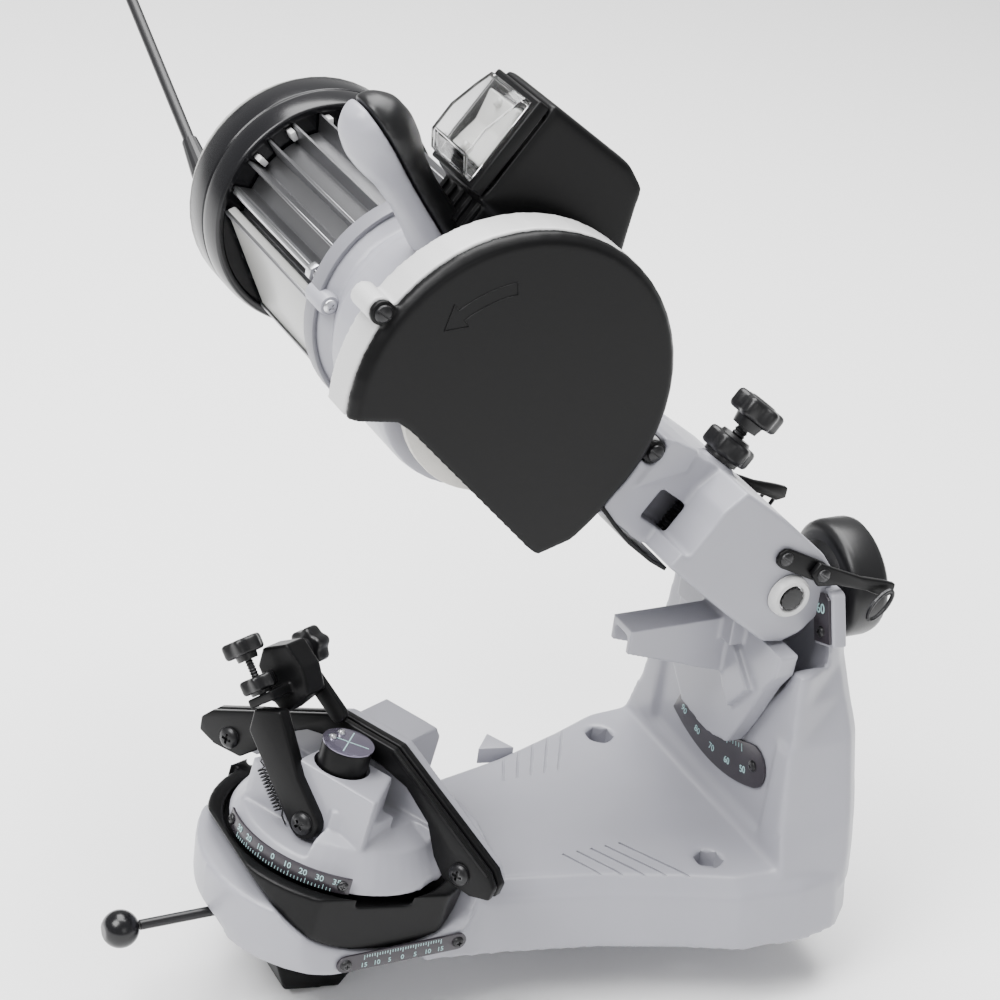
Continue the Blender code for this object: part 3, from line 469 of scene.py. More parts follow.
class Shape:
    """Bmesh makers; every one returns a closed bmesh in millimetres."""

    @staticmethod
    def prism(outline: Iterable[Point2], lo: float, hi: float, axis: Axis = Axis.Z) -> Mesh:
        """Push a closed outline along an axis.

        Args:
            outline: its corners in order.
            lo: where the solid starts.
            hi: where it ends.
            axis: the direction it is pushed in.

        Returns:
            The solid.
        """
        bm = bmesh.new()
        face = bm.faces.new([bm.verts.new((x, y, lo)) for x, y in outline])
        pushed = bmesh.ops.extrude_face_region(bm, geom=[face])
        moved = [item for item in pushed["geom"] if isinstance(item, bmesh.types.BMVert)]
        bmesh.ops.translate(bm, verts=moved, vec=(0, 0, hi - lo))
        bmesh.ops.transform(bm, matrix=axis.turn(), verts=bm.verts)
        bmesh.ops.recalc_face_normals(bm, faces=bm.faces)
        return bm

    @staticmethod
    def block(lo: Sequence[float], hi: Sequence[float]) -> Mesh:
        """Make a box.

        Args:
            lo: its lowest corner.
            hi: its highest corner.

        Returns:
            The box.
        """
        bm = bmesh.new()
        bmesh.ops.create_cube(bm, size=1.0)
        bmesh.ops.scale(bm, vec=[h - l for l, h in zip(lo, hi)], verts=bm.verts)
        bmesh.ops.translate(bm, verts=bm.verts, vec=[(l + h) / 2 for l, h in zip(lo, hi)])
        return bm

    @staticmethod
    def turned(profile: Sequence[Point2], axis: Axis = Axis.Z, steps: int = 48,
               centre: Sequence[float] = (0, 0, 0)) -> Mesh:
        """Spin a profile of (radius, height) about an axis.

        Args:
            profile: the points; a profile that starts and ends off the axis is closed on itself.
            axis: what the profile turns about.
            steps: segments round the circle.
            centre: a point on the axis.

        Returns:
            The turned solid or sleeve.
        """
        bm = bmesh.new()
        verts = [bm.verts.new((radius, 0, height)) for radius, height in profile]
        edges = [bm.edges.new(pair) for pair in zip(verts, verts[1:])]
        if profile[0][0] > 0 and profile[-1][0] > 0:
            edges.append(bm.edges.new((verts[-1], verts[0])))
        bmesh.ops.spin(bm, geom=verts + edges, cent=(0, 0, 0), axis=(0, 0, 1), dvec=(0, 0, 0),
                       angle=2 * math.pi, steps=steps, use_merge=True, use_duplicate=False)
        bmesh.ops.remove_doubles(bm, verts=bm.verts, dist=MERGE)
        bmesh.ops.transform(bm, matrix=axis.turn(), verts=bm.verts)
        bmesh.ops.translate(bm, verts=bm.verts, vec=centre)
        bmesh.ops.recalc_face_normals(bm, faces=bm.faces)
        return bm

    @staticmethod
    def lobed(radius: float, depth: float, lobes: int, lo: float, hi: float, round_off: float = 1.2,
              axis: Axis = Axis.Z, centre: Sequence[float] = (0, 0, 0)) -> Mesh:
        """A grip with rounded lobes.

        Args:
            radius: to the tips of the lobes.
            depth: how far the hollows between them fall back.
            lobes: how many there are.
            lo: where it starts along its axis.
            hi: where it ends.
            round_off: the radius of its rims.
            axis: its axis.
            centre: a point on the axis.

        Returns:
            The grip.
        """
        bm = bmesh.new()
        ring = bmesh.ops.create_circle(bm, cap_ends=True, radius=1.0, segments=lobes * 14)["verts"]
        for vert in ring:
            angle = math.atan2(vert.co.y, vert.co.x)
            reach = radius - depth * 0.5 * (1 - math.cos(lobes * angle))
            vert.co = (vert.co.x * reach, vert.co.y * reach, lo)
        pushed = bmesh.ops.extrude_face_region(bm, geom=bm.faces[:])
        top = [item for item in pushed["geom"] if isinstance(item, bmesh.types.BMVert)]
        bmesh.ops.translate(bm, verts=top, vec=(0, 0, hi - lo))
        bmesh.ops.recalc_face_normals(bm, faces=bm.faces)
        Shape.soften(bm, round_off, 40, 3)
        bmesh.ops.transform(bm, matrix=axis.turn(), verts=bm.verts)
        bmesh.ops.translate(bm, verts=bm.verts, vec=centre)
        bmesh.ops.recalc_face_normals(bm, faces=bm.faces)
        return bm

    @staticmethod
    def soften(bm: Mesh, width: float, angle: float = 30, segments: int = 2) -> Mesh:
        """Bevel every sharp edge.

        Args:
            bm: the shape, changed in place.
            width: the bevel's width.
            angle: edges sharper than this many degrees are bevelled.
            segments: faces across the bevel.

        Returns:
            The same shape.
        """
        limit = math.radians(angle)
        edges = [edge for edge in bm.edges if len(edge.link_faces) == 2 and edge.calc_face_angle(0) > limit]
        bmesh.ops.bevel(bm, geom=edges, offset=width, offset_type="OFFSET", affect="EDGES", segments=segments,
                        profile=0.5, material=-1, clamp_overlap=True)
        return bm

    @staticmethod
    def tube(path: Sequence[Vector], radius: float, sides: int = 10, closed: bool = False) -> Mesh:
        """Sweep a round section along a path by extruding its rim from point to point.

        Args:
            path: the middle line.
            radius: of the section.
            sides: of the section.
            closed: whether the path runs back to its start.

        Returns:
            The wire.
        """
        bm = bmesh.new()
        count = len(path)
        ahead = [(path[(i + 1) % count] - path[i - 1]) if closed or 0 < i < count - 1
                 else (path[min(i + 1, count - 1)] - path[max(i - 1, 0)]) for i in range(count)]
        turn = Vector((0, 0, 1)).rotation_difference(ahead[0])
        matrix = Matrix.Translation(path[0]) @ turn.to_matrix().to_4x4()
        bmesh.ops.create_circle(bm, cap_ends=not closed, radius=radius, segments=sides, matrix=matrix)
        first = list(bm.edges)
        rim = list(bm.edges)
        for i in range(1, count):
            pushed = bmesh.ops.extrude_edge_only(bm, edges=rim)["geom"]
            verts = [item for item in pushed if isinstance(item, bmesh.types.BMVert)]
            rim = [item for item in pushed if isinstance(item, bmesh.types.BMEdge)]
            step = ahead[i - 1].rotation_difference(ahead[i]).to_matrix().to_4x4()
            matrix = Matrix.Translation(path[i]) @ step @ Matrix.Translation(-path[i - 1])
            bmesh.ops.transform(bm, matrix=matrix, verts=verts)
        if closed:
            bmesh.ops.bridge_loops(bm, edges=first + rim)
        else:
            bmesh.ops.contextual_create(bm, geom=rim)
        bmesh.ops.recalc_face_normals(bm, faces=bm.faces)
        return bm


def join(*parts: Mesh) -> Mesh:
    """Put several shapes into the first one.

    Args:
        parts: the shapes; all but the first are freed.

    Returns:
        The first one, with the others in it.
    """
    whole = parts[0]
    for part in parts[1:]:
        mesh = bpy.data.meshes.new("joining")
        part.to_mesh(mesh)
        part.free()
        whole.from_mesh(mesh)
        bpy.data.meshes.remove(mesh)
    return whole


class Workshop:
    """Turns bmeshes and CAD nodes into finished pieces that ride on their bodies."""

    def __init__(self, frame: dict) -> None:
        """Keep the frame and make the finishes."""
        self.frame = frame
        self.finish = Finishes()
        bodies = frame["record"]["behaviour"]["bodies"]
        self.bodies = {node: body for body, nodes in bodies.items() for node in nodes}
        self.joints = {joint["name"]: joint for joint in frame["joints"]}

    def mesh(self, name: str, bm: Mesh, place: Place | None, smooth: float = CREASE) -> bpy.types.Object:
        """Bake a bmesh in millimetres into an object at the origin.

        Args:
            name: the object's name.
            bm: the shape, freed here.
            place: the frame it was made in, or None for the machine's own.
            smooth: edges sharper than this many degrees stay sharp.

        Returns:
            The new object.
        """
        matrix = (place.matrix if place else Matrix.Identity(4)) @ Matrix.Scale(MM, 4)
        bmesh.ops.transform(bm, matrix=matrix, verts=bm.verts)
        data = bpy.data.meshes.new(name)
        bm.to_mesh(data)
        bm.free()
        data.shade_smooth()
        data.set_sharp_from_angle(angle=math.radians(smooth))
        made = bpy.data.objects.new(name, data)
        bpy.context.scene.collection.objects.link(made)
        return made

    def add(self, name: str, bm: Mesh, finish: bpy.types.Material, body: str, place: Place | None = None,
            replaces: Sequence[str] = (), smooth: float = CREASE) -> bpy.types.Object:
        """Make a finished piece.

        Args:
            name: the piece's name.
            bm: its shape in millimetres.
            finish: its material.
            body: the body it rides on.
            place: the frame it was made in.
            replaces: CAD nodes that it stands for.
            smooth: edges sharper than this many degrees stay sharp.

        Returns:
            The piece.
        """
        piece = self.mesh(name, bm, place, smooth)
        piece.data.materials.append(finish)
        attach(piece, body)
        if replaces:
            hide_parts(*replaces)
        LOG.info("%s rides on %s", name, body)
        return piece

    def copy_of(self, node: str) -> Mesh:
        """Copy a CAD node in millimetres, merged and with its flat faces whole again.

        Args:
            node: the node's name.

        Returns:
            The copy.
        """
        bm = bmesh.new()
        bm.from_mesh(self.frame["nodes"][node].data)
        bmesh.ops.scale(bm, vec=(1 / MM, 1 / MM, 1 / MM), verts=bm.verts)
        bmesh.ops.remove_doubles(bm, verts=bm.verts, dist=0.002)
        bmesh.ops.dissolve_limit(bm, angle_limit=math.radians(1), verts=bm.verts, edges=bm.edges)
        return bm

    def dress(self, finish: bpy.types.Material, *nodes: str) -> None:
        """Give CAD nodes that stay a better finish.

        Args:
            finish: the material.
            nodes: the nodes' names.
        """
        for node in nodes:
            data = self.frame["nodes"][node].data
            data.materials.clear()
            data.materials.append(finish)

    def softened(self, node: str, finish: bpy.types.Material, width: float, angle: float = 28,
                 segments: int = 2) -> bpy.types.Object:
        """Replace a CAD node by a copy with bevelled edges.

        Args:
            node: the node's name.
            finish: its material.
            width: the bevel's width in millimetres.
            angle: edges sharper than this many degrees are bevelled.
            segments: faces across the bevel.

        Returns:
            The piece.
        """
        bm = Shape.soften(self.copy_of(node), width, angle, segments)
        return self.add(node + "_finished", bm, finish, self.bodies[node], replaces=[node])

    def cast(self, node: str, finish: bpy.types.Material, voxel: float, rounds: int = 6,
             place: Place | None = None, extra: Sequence[Mesh] = (),
             cuts: Sequence[Mesh] = ()) -> bpy.types.Object:
        """Replace a CAD node by one with the soft edges of a casting or moulding.

        Args:
            node: the CAD node.
            finish: its material.
            voxel: the size of the remeshing cells in millimetres.
            rounds: smoothing passes.
            place: the frame whose axes its flat faces follow.
            extra: closed shapes in that frame to fuse on.
            cuts: closed shapes in that frame to take away.

        Returns:
            The new piece.
        """
        home = place or Place(Matrix.Identity(4))
        bm = self.copy_of(node)
        back = Matrix.Scale(1 / MM, 4) @ home.matrix.inverted() @ Matrix.Scale(MM, 4)
        bmesh.ops.transform(bm, matrix=back, verts=bm.verts)
        bm = join(bm, *extra)
        data = bpy.data.meshes.new(node + "_cast")
        bm.to_mesh(data)
        bm.free()
        piece = bpy.data.objects.new(node + "_cast", data)
        bpy.context.scene.collection.objects.link(piece)
        self._apply(piece, "REMESH", mode="VOXEL", voxel_size=voxel, use_smooth_shade=True)
        self._apply(piece, "SMOOTH", factor=0.5, iterations=rounds)
        self._cut(piece, cuts)
        piece.data.transform(home.matrix @ Matrix.Scale(MM, 4))
        piece.data.shade_smooth()
        if cuts:
            piece.data.set_sharp_from_angle(angle=math.radians(CUT_CREASE))
        piece.data.materials.clear()
        piece.data.materials.append(finish)
        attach(piece, self.bodies[node])
        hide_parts(node)
        LOG.info("%s cast again with %d faces", node, len(piece.data.polygons))
        return piece

    def _cut(self, piece: bpy.types.Object, cuts: Sequence[Mesh]) -> None:
        """Take closed shapes out of a piece.

        Args:
            piece: the piece that is cut.
            cuts: the shapes to take away, freed here.
        """
        for i, cut in enumerate(cuts):
            data = bpy.data.meshes.new("cut")
            cut.to_mesh(data)
            cut.free()
            tool = bpy.data.objects.new("cut_%d" % i, data)
            bpy.context.scene.collection.objects.link(tool)
            self._apply(piece, "BOOLEAN", operation="DIFFERENCE", solver="EXACT", object=tool)
            bpy.data.objects.remove(tool)

    @staticmethod
    def _apply(piece: bpy.types.Object, kind: str, **settings: float | str | bpy.types.Object) -> None:
        """Add one modifier and bake it into the mesh.

        Args:
            piece: the object it works on.
            kind: the modifier's type.
            settings: what its properties are set to.
        """
        modifier = piece.modifiers.new(kind, kind)
        for key, value in settings.items():
            setattr(modifier, key, value)
        graph = bpy.context.evaluated_depsgraph_get()
        baked = bpy.data.meshes.new_from_object(piece.evaluated_get(graph))
        piece.modifiers.clear()
        piece.data = baked

    def screw(self, name: str, place: Place, at: Sequence[float], body: str, axis: Axis, flip: int = 1,
              radius: float = 3.0, head: float = 1.8, cross: bool = True,
              finish: bpy.types.Material | None = None) -> bpy.types.Object:
        """A domed screw head with its driver recess.

        Args:
            name: the piece's name.
            place: the frame it is set in.
            at: the middle of the seat, in that frame.
            body: the body it rides on.
            axis: the screw's axis.
            flip: the side it faces along that axis.
            radius: of the head.
            head: its height.
            cross: a cross recess, or else one slot.
            finish: its material.

        Returns:
            The screw.
        """
        dome = [(radius * math.sin(a), head * (DOME_RIM + (1 - DOME_RIM) * math.cos(a))) for a in DOME]
        bm = Shape.turned([(0, head), *dome, (radius, 0.0), (0, 0.0)], Axis.Z, 28)
        data = bpy.data.meshes.new(name)
        bm.to_mesh(data)
        bm.free()
        blank = bpy.data.objects.new(name + "_blank", data)
        bpy.context.scene.collection.objects.link(blank)
        wide = radius * (0.5 if cross else 1.1)
        slot = radius * SLOT
        floor = head * SLOT_FLOOR
        cuts = [Shape.block((-wide, -slot, floor), (wide, slot, head * 2))]
        if cross:
            cuts.append(Shape.block((-slot, -wide, floor), (slot, wide, head * 2)))
        self._cut(blank, cuts)
        cut = bmesh.new()
        cut.from_mesh(blank.data)
        bpy.data.objects.remove(blank)
        bmesh.ops.transform(cut, matrix=axis.turn() @ Matrix.Scale(flip, 4, (0, 0, 1)), verts=cut.verts)
        bmesh.ops.translate(cut, verts=cut.verts, vec=at)
        bmesh.ops.recalc_face_normals(cut, faces=cut.faces)
        return self.add(name, cut, finish or self.finish.dark_steel, body, place)

    def figures(self, name: str, words: str, size: float, place: Place, body: str,
                thick: float = 0.12) -> None:
        """Make raised figures of a scale.

        Args:
            name: the piece's name.
            words: the figures.
            size: their height in millimetres.
            place: the frame they are centred on, in its XY plane.
            body: the body they ride on.
            thick: how far they stand out.
        """
        text = bpy.data.curves.new(name, "FONT")
        text.body = words
        text.size = size
        text.align_x = "CENTER"
        text.align_y = "CENTER"
        text.extrude = thick
        holder = bpy.data.objects.new(name + "_text", text)
        bpy.context.scene.collection.objects.link(holder)
        graph = bpy.context.evaluated_depsgraph_get()
        flat = bpy.data.meshes.new_from_object(holder.evaluated_get(graph))
        bm = bmesh.new()
        bm.from_mesh(flat)
        bpy.data.objects.remove(holder)
        bmesh.ops.remove_doubles(bm, verts=bm.verts, dist=MERGE)
        self.add(name, bm, self.finish.print, body, place)


# ------------------------------------------------------------------ groups of the machine


@dataclass
class Guard:
    """The wheel guard: pale backplate, black cover, its screws and the direction arrow."""

    shop: Workshop
    place: Place
    reach: float = 186.0
    skin: float = 24.5

    def build(self) -> None:
        """Make the guard's pieces."""
        finish = self.shop.finish
        self.shop.cast("guard_cover", finish.black, 0.95, 9, self.place)
        self.shop.cast("guard_backplate", finish.pale, 0.95, 3, self.place)
        self.arrow()
        for name, y, z in (("front_cover_screw", -272, -1), ("rear_cover_screw", -101, 17)):
            self.shop.screw(name, self.place, (21, y, z), "head", Axis.X, radius=4.2, head=2.4, cross=False)

    def arrow(self) -> None:
        """A thin raised outline of an arrow that bends round the spindle."""
        radius, start, end = 58.0, 168.0, 134.0
        curve = arc((-self.reach, 0), radius + 3, start - 6, end, 10)
        curve += arc((-self.reach, 0), radius - 3, end, start - 6, 10)
        curve += [self._polar(radius - 7, start - 6), self._polar(radius, start + 4),
                  self._polar(radius + 7, start - 6)]
        path = [Vector((self.skin + 0.1, y, z)) for y, z in curve]
        line = Shape.tube(path, 0.3, 6, closed=True)
        self.shop.add("direction_arrow", line, self.shop.finish.black, "head", self.place)

    def _polar(self, radius: float, angle: float) -> Point2:
        """A point round the spindle in the guard's plane."""
        return (-self.reach + radius * math.cos(math.radians(angle)), radius * math.sin(math.radians(angle)))


@dataclass
class Motor:
    """The motor: finned body, flange, cowl, cap, through bolts, and what spins inside."""

    shop: Workshop
    place: Place
    reach: float = 186.0
    fins: int = 24
    core: float = 46.5
    tip: float = 56.3
    near: float = -84.3
    far: float = -190.0

    def build(self) -> None:
        """Make the motor's pieces."""
        finish = self.shop.finish
        self.shop.cast("head_housing", finish.grey, 1.15, 4, self.place)
        self.flange()
        self.body()
        self.cowl()
        self.bolts()
        self.shop.dress(finish.copper, "stator")
        self.shop.dress(finish.steel, "rotor", "front_bearing", "rear_bearing", "motor_shaft", "outer_flange")
        self.shop.dress(finish.dark_steel, "wheel_nut")
        self.shop.softened("grinding_wheel", finish.stone, 0.5)
        self.shop.softened("cooling_fan", finish.black, 0.25)

    def flange(self) -> None:
        """The dull ring between housing and fins, with its cross-head screws."""
        ring = [(58.2, -73.5), (58.2, -83.9), (56, -83.9), (56, -73.5)]
        self.shop.add("motor_flange", Shape.soften(Shape.turned(ring, Axis.X, 72, self.spindle()), 0.5, 40),
                      self.shop.finish.flange, "head", self.place, smooth=40)
        for i, angle in enumerate((204, 84, 324)):
            y, z = arc((-self.reach, 0), 54.5, angle, angle, 1)[0]
            outline = [(0, -83.5), (5.4, -83.5), (5.4, -69), (4.6, -67), (0, -66.4)]
            lug = Shape.turned(outline, Axis.X, 24, (0, y, z))
            self.shop.add("flange_lug_%d" % i, lug, self.shop.finish.grey, "head", self.place)
            self.shop.screw("flange_screw_%d" % i, self.place, (-66.6, y, z), "head", Axis.X,
                            radius=3.4, head=1.6, finish=self.shop.finish.steel)

    def spindle(self) -> tuple[float, float, float]:
        """A point on the spindle's axis."""
        return (0, -self.reach, 0)

    def body(self) -> None:
        """The finned body, with its milled flat on the lower front."""
        bm = bmesh.new()
        per = 10
        bmesh.ops.create_circle(bm, cap_ends=True, radius=1.0, segments=self.fins * per)
        for vert in bm.verts:
            step = round(math.atan2(vert.co.y, vert.co.x) / (2 * math.pi) * self.fins * per) % per
            reach = self.tip if step in (0, 1) else self.core
            vert.co = (vert.co.x * reach, vert.co.y * reach, self.far)
        pushed = bmesh.ops.extrude_face_region(bm, geom=bm.faces[:])
        top = [item for item in pushed["geom"] if isinstance(item, bmesh.types.BMVert)]
        bmesh.ops.translate(bm, verts=top, vec=(0, 0, self.near - self.far))
        bmesh.ops.transform(bm, matrix=Axis.X.turn(), verts=bm.verts)
        bmesh.ops.translate(bm, verts=bm.verts, vec=self.spindle())
        bmesh.ops.recalc_face_normals(bm, faces=bm.faces)
        normal = Vector((0, -0.5, -0.866))
        cut = bmesh.ops.bisect_plane(bm, geom=bm.verts[:] + bm.edges[:] + bm.faces[:], dist=1e-4,
                                     plane_co=Vector(self.spindle()) + normal * 47.2, plane_no=normal,
                                     clear_outer=True)
        rim = [item for item in cut["geom_cut"] if isinstance(item, bmesh.types.BMEdge)]
        bmesh.ops.holes_fill(bm, edges=rim, sides=0)
        bmesh.ops.recalc_face_normals(bm, faces=bm.faces)
        Shape.soften(bm, 0.25, 50, 1)
        self.shop.add("motor_body_finned", bm, self.shop.finish.aluminium, "head", self.place, ["motor_body"])
        self.tray(normal)

    def tray(self, normal: Vector) -> None:
        """The flat pad with its raised border on the motor's lower front."""
        side = Vector((0, 0.866, -0.5))
        centre = Vector(self.spindle()) + normal * 46.0
        turn = Matrix((Vector((1, 0, 0)), side, normal)).transposed().to_4x4()
        home = Place(self.place.matrix @ Matrix.Translation(centre * MM) @ turn)
        pad = Shape.soften(Shape.block((self.far + 1, -30, -3), (self.near - 1, 30, 1.8)), 1.2, 30, 3)
        self.shop.add("motor_pad", pad, self.shop.finish.cap, "head", home)
        for i, y in enumerate((-28.5, 28.5)):
            rail = Shape.block((self.far + 1, y - 1.2, 0), (self.near - 1, y + 1.2, 3.0))
            Shape.soften(rail, 0.6, 30, 2)
            self.shop.add("motor_pad_rail_%d" % i, rail, self.shop.finish.aluminium, "head", home)

    def cowl(self) -> None:
        """The glossy fan cowl and the grey cap behind it."""
        finish = self.shop.finish
        cowl = [(59.5, -189), (60.5, -190), (61.6, -195), (62, -200), (62, -203.2), (61.3, -203.8),
                (61.3, -204.6), (62, -205.2), (62, -221.6), (57.6, -221.9), (57.6, -196), (54, -194.6),
                (50.5, -194.6), (50.5, -193.4), (44.2, -193.4), (44.2, -191), (56, -191), (57, -189)]
        shell = Shape.soften(Shape.turned(cowl, Axis.X, 96, self.spindle()), 0.3, 25)
        self.shop.add("fan_cowl_turned", shell, finish.gloss, "head", self.place, ["fan_cowl"], smooth=45)
        self.shop.softened("rear_cap", finish.cap, 0.5, 14, 2)
        for i in range(9):
            angle = 22 + 22 * i
            y, z = arc((-self.reach, 0), 52.0, angle, angle, 1)[0]
            tab = Shape.block((-4, -2.6, -1.5), (4, 2.6, 1.5))
            Shape.soften(tab, 0.6, 30, 2)
            turn = Matrix.Rotation(math.radians(angle), 4, "X")
            home = self.place.moved((self.far + 1, y, z), turn)
            self.shop.add("cowl_clip_%d" % i, tab, finish.pale, "head", home)

    def bolts(self) -> None:
        """The long bolts that draw the motor together, beside the flat."""
        for i, angle in enumerate((197, 287)):
            y, z = arc((-self.reach, 0), 54.0, angle, angle, 1)[0]
            low, high = self.far + 2, self.near - 1
            rod = Shape.turned([(0, low), (2.3, low), (2.3, high), (0, high)], Axis.X, 16, (0, y, z))
            self.shop.add("through_bolt_%d" % i, rod, self.shop.finish.steel, "head", self.place)
            nut = Shape.prism(arc((y, z), 4.6, 0, 300, 5), self.near - 9, self.near - 4, Axis.X)
            Shape.soften(nut, 0.4)
            self.shop.add("through_bolt_nut_%d" % i, nut, self.shop.finish.steel, "head", self.place)


@dataclass
class Handle:
    """The grip in its grey front half and black rear half."""

    shop: Workshop
    place: Place

    def build(self) -> None:
        """Cast both halves again with a finer skin."""
        self.shop.cast("handle_front", self.shop.finish.grey, 0.9, 60, self.place)
        self.shop.cast("handle_rear", self.shop.finish.knob, 0.9, 60, self.place)


@dataclass
class Switch:
    """The switch box with its neck, bezel, rocker and clear cover."""

    shop: Workshop
    place: Place

    def build(self) -> None:
        """Make the switch group."""
        finish = self.shop.finish
        neck = Shape.block((-52, -240, 44), (-14, -196, 66))
        self.shop.cast("switch_box", finish.black, 1.1, 45, self.place, extra=[neck])
        for i in range(5):
            rib = Shape.soften(Shape.block((-50 + 8 * i, -241.5, 46), (-47 + 8 * i, -239, 60)), 0.4)
            self.shop.add("neck_rib_%d" % i, rib, finish.black, "head", self.place)
        self.shop.softened("switch_frame", finish.black, 1.2, 30, 3)
        self.shop.softened("switch_rocker", finish.white, 1.2, 20, 3)
        self.shop.softened("switch_lid", finish.clear, 1.6, 20, 3)
        for i, z in enumerate((75, 99)):
            boss = Shape.turned([(0, -252.4), (2.2, -252.4), (2.2, -256), (1.4, -257), (0, -257)], Axis.Y, 16,
                                (-32, 0, z))
            self.shop.add("rocker_mark_%d" % i, boss, finish.white, "rocker", self.place)


@dataclass
class Arm:
    """The swing arm with its hub rings, depth screw, catches and rubber strip."""

    shop: Workshop
    place: Place
    screw_at: Point2 = (8.5, -56.0)

    def build(self) -> None:
        """Make the arm's pieces."""
        finish = self.shop.finish
        band = Shape.prism([(-78, 18), (-80, 29.5), (-97, 27), (-97, -2), (-91, 4)], -28, 21.2, Axis.X)
        cheek = Shape.block((20.5, -65.5, -13), (46, -46, 6))
        self.shop.cast("swing_arm", finish.grey, 1.05, 5, self.place, extra=[band, cheek])
        self.hub()
        self.depth_screw()
        self.strip()
        for side, sign in (("right", 1), ("left", -1)):
            self.catch(side, sign)
        self.shop.dress(finish.steel, "hub_shaft", "return_spring")
        self.shop.dress(finish.copper, "hub_bush_left", "hub_bush_right")

    def hub(self) -> None:
        """Pale rings round the hub shaft and the dark plugs in its ends."""
        ring = [(6.9, 46.2), (6.9, 50.4), (7.5, 51.2), (9.4, 51.2), (10.6, 49.6), (10.9, 46.2)]
        for side, sign in (("right", 1), ("left", -1)):
            shape = Shape.turned([(r, sign * h) for r, h in ring], Axis.X, 48)
            self.shop.add(side + "_hub_ring", shape, self.shop.finish.pale, "head", self.place, smooth=40)
            plug = Shape.lobed(6.3, 0.5, 12, 49.2, 51.0, 0.5, Axis.X)
            if sign < 0:
                bmesh.ops.transform(plug, matrix=Matrix.Rotation(math.pi, 4, "Z"), verts=plug.verts)
            self.shop.add(side + "_hub_plug", plug, self.shop.finish.knob, "head", self.place)

    def depth_screw(self) -> None:
        """The depth screw's thread, knob and lock knob."""
        finish = self.shop.finish
        centre = (*self.screw_at, 0)
        teeth = []
        for i in range(36):
            low = -22 + 2.0 * i
            teeth += [(3.5, low), (2.9, low + 1.0)]
        shank = Shape.turned([(0, -22)] + teeth + [(3.4, 52), (0, 52)], Axis.Z, 20, centre)
        self.shop.add("depth_screw_thread", shank, finish.dark_steel, "depth_screw", self.place,
                      ["depth_screw"], 20)
        neck = Shape.turned([(3.6, 49.6), (6.6, 50), (7.4, 54), (8.2, 56), (3.6, 56)], Axis.Z, 32, centre)
        self.shop.add("depth_knob_neck", neck, finish.knob, "depth_screw", self.place)
        grip = Shape.lobed(13.6, 2.6, 6, 55.0, 65.4, 2.4, centre=centre)
        self.shop.add("depth_knob_grip", grip, finish.knob, "depth_screw", self.place)
        crown = Shape.turned([(0, 66.2), (6, 66.0), (9.5, 64.8), (0, 63)], Axis.Z, 32, centre)
        self.shop.add("depth_knob_crown", crown, finish.knob, "depth_screw", self.place)
        lock = Shape.lobed(13.2, 2.1, 6, 33.4, 43.4, 2.3, centre=centre)
        self.shop.add("depth_lock_grip", lock, finish.knob, "depth_lock", self.place, ["depth_lock_knob"])
        collar = Shape.turned([(3.9, 31.3), (9.2, 31.3), (9.4, 35), (8.2, 37), (3.9, 37)], Axis.Z, 32, centre)
        self.shop.add("depth_lock_collar", collar, finish.knob, "depth_lock", self.place)
        top = Shape.turned([(3.9, 43), (8.5, 43), (7.6, 45), (3.9, 45.2)], Axis.Z, 32, centre)
        self.shop.add("depth_lock_top", top, finish.knob, "depth_lock", self.place)

    def strip(self) -> None:
        """The thin black strip under the arm's neck."""
        low = [(-49, -27), (-60, -27.4), (-78, -26), (-92, -23), (-106, -19)]
        outline = low + [(y, z + 2.2) for y, z in reversed(low)]
        bm = Shape.soften(Shape.prism(outline, -8, 21, Axis.X), 0.5)
        self.shop.add("neck_strip", bm, self.shop.finish.black, "head", self.place)

    def catch(self, side: str, sign: int) -> None:
        """One side's catch link, lever, slotted screws and wire ring."""
        finish = self.shop.finish
        self.shop.softened(side + "_catch_link", finish.black, 0.6, 40, 2)
        self.shop.softened(side + "_catch_lever", finish.black, 0.7, 40, 2)
        self.shop.dress(finish.dark_steel, side + "_pull_ring")
        pins = (("link", (sign * 48.5, -17.6, 14), "head"), ("lever", (sign * 52, 5.3, 18), side + "_lever"))
        for part, at, body in pins:
            self.shop.screw(side + "_" + part + "_screw", self.place, at, body, Axis.X, sign,
                            radius=3.6, head=1.6, cross=False)


@dataclass
class Bracket:
    """The tilting bracket, its stud and the big lock knob behind the upright."""

    shop: Workshop
    place: Place

    def build(self) -> None:
        """Make the bracket's pieces."""
        finish = self.shop.finish
        web = Shape.prism([(18, -12), (40, -30), (26, -48), (10, -30)], -15, -3, Axis.Y)
        self.shop.cast("tilt_bracket", finish.grey, 1.0, 6, self.place, extra=[web])
        self.shop.dress(finish.steel, "tilt_stud")
        grip = Shape.lobed(31.6, 1.6, 3, 47, 70.2, 5.5, Axis.Y)
        self.shop.add("tilt_knob_grip", grip, finish.knob, "tilt_knob", self.place, ["tilt_lock_knob"])
        neck = [(6.4, 41.7), (14, 41.7), (18.5, 44), (22, 47.5), (6.4, 47.5)]
        self.shop.add("tilt_knob_neck", Shape.turned(neck, Axis.Y, 48), finish.knob, "tilt_knob", self.place)
        lid = [(0, 70.9), (10, 70.9), (13, 69.2), (0, 68)]
        self.shop.add("tilt_knob_lid", Shape.turned(lid, Axis.Y, 48), finish.knob, "tilt_knob", self.place)


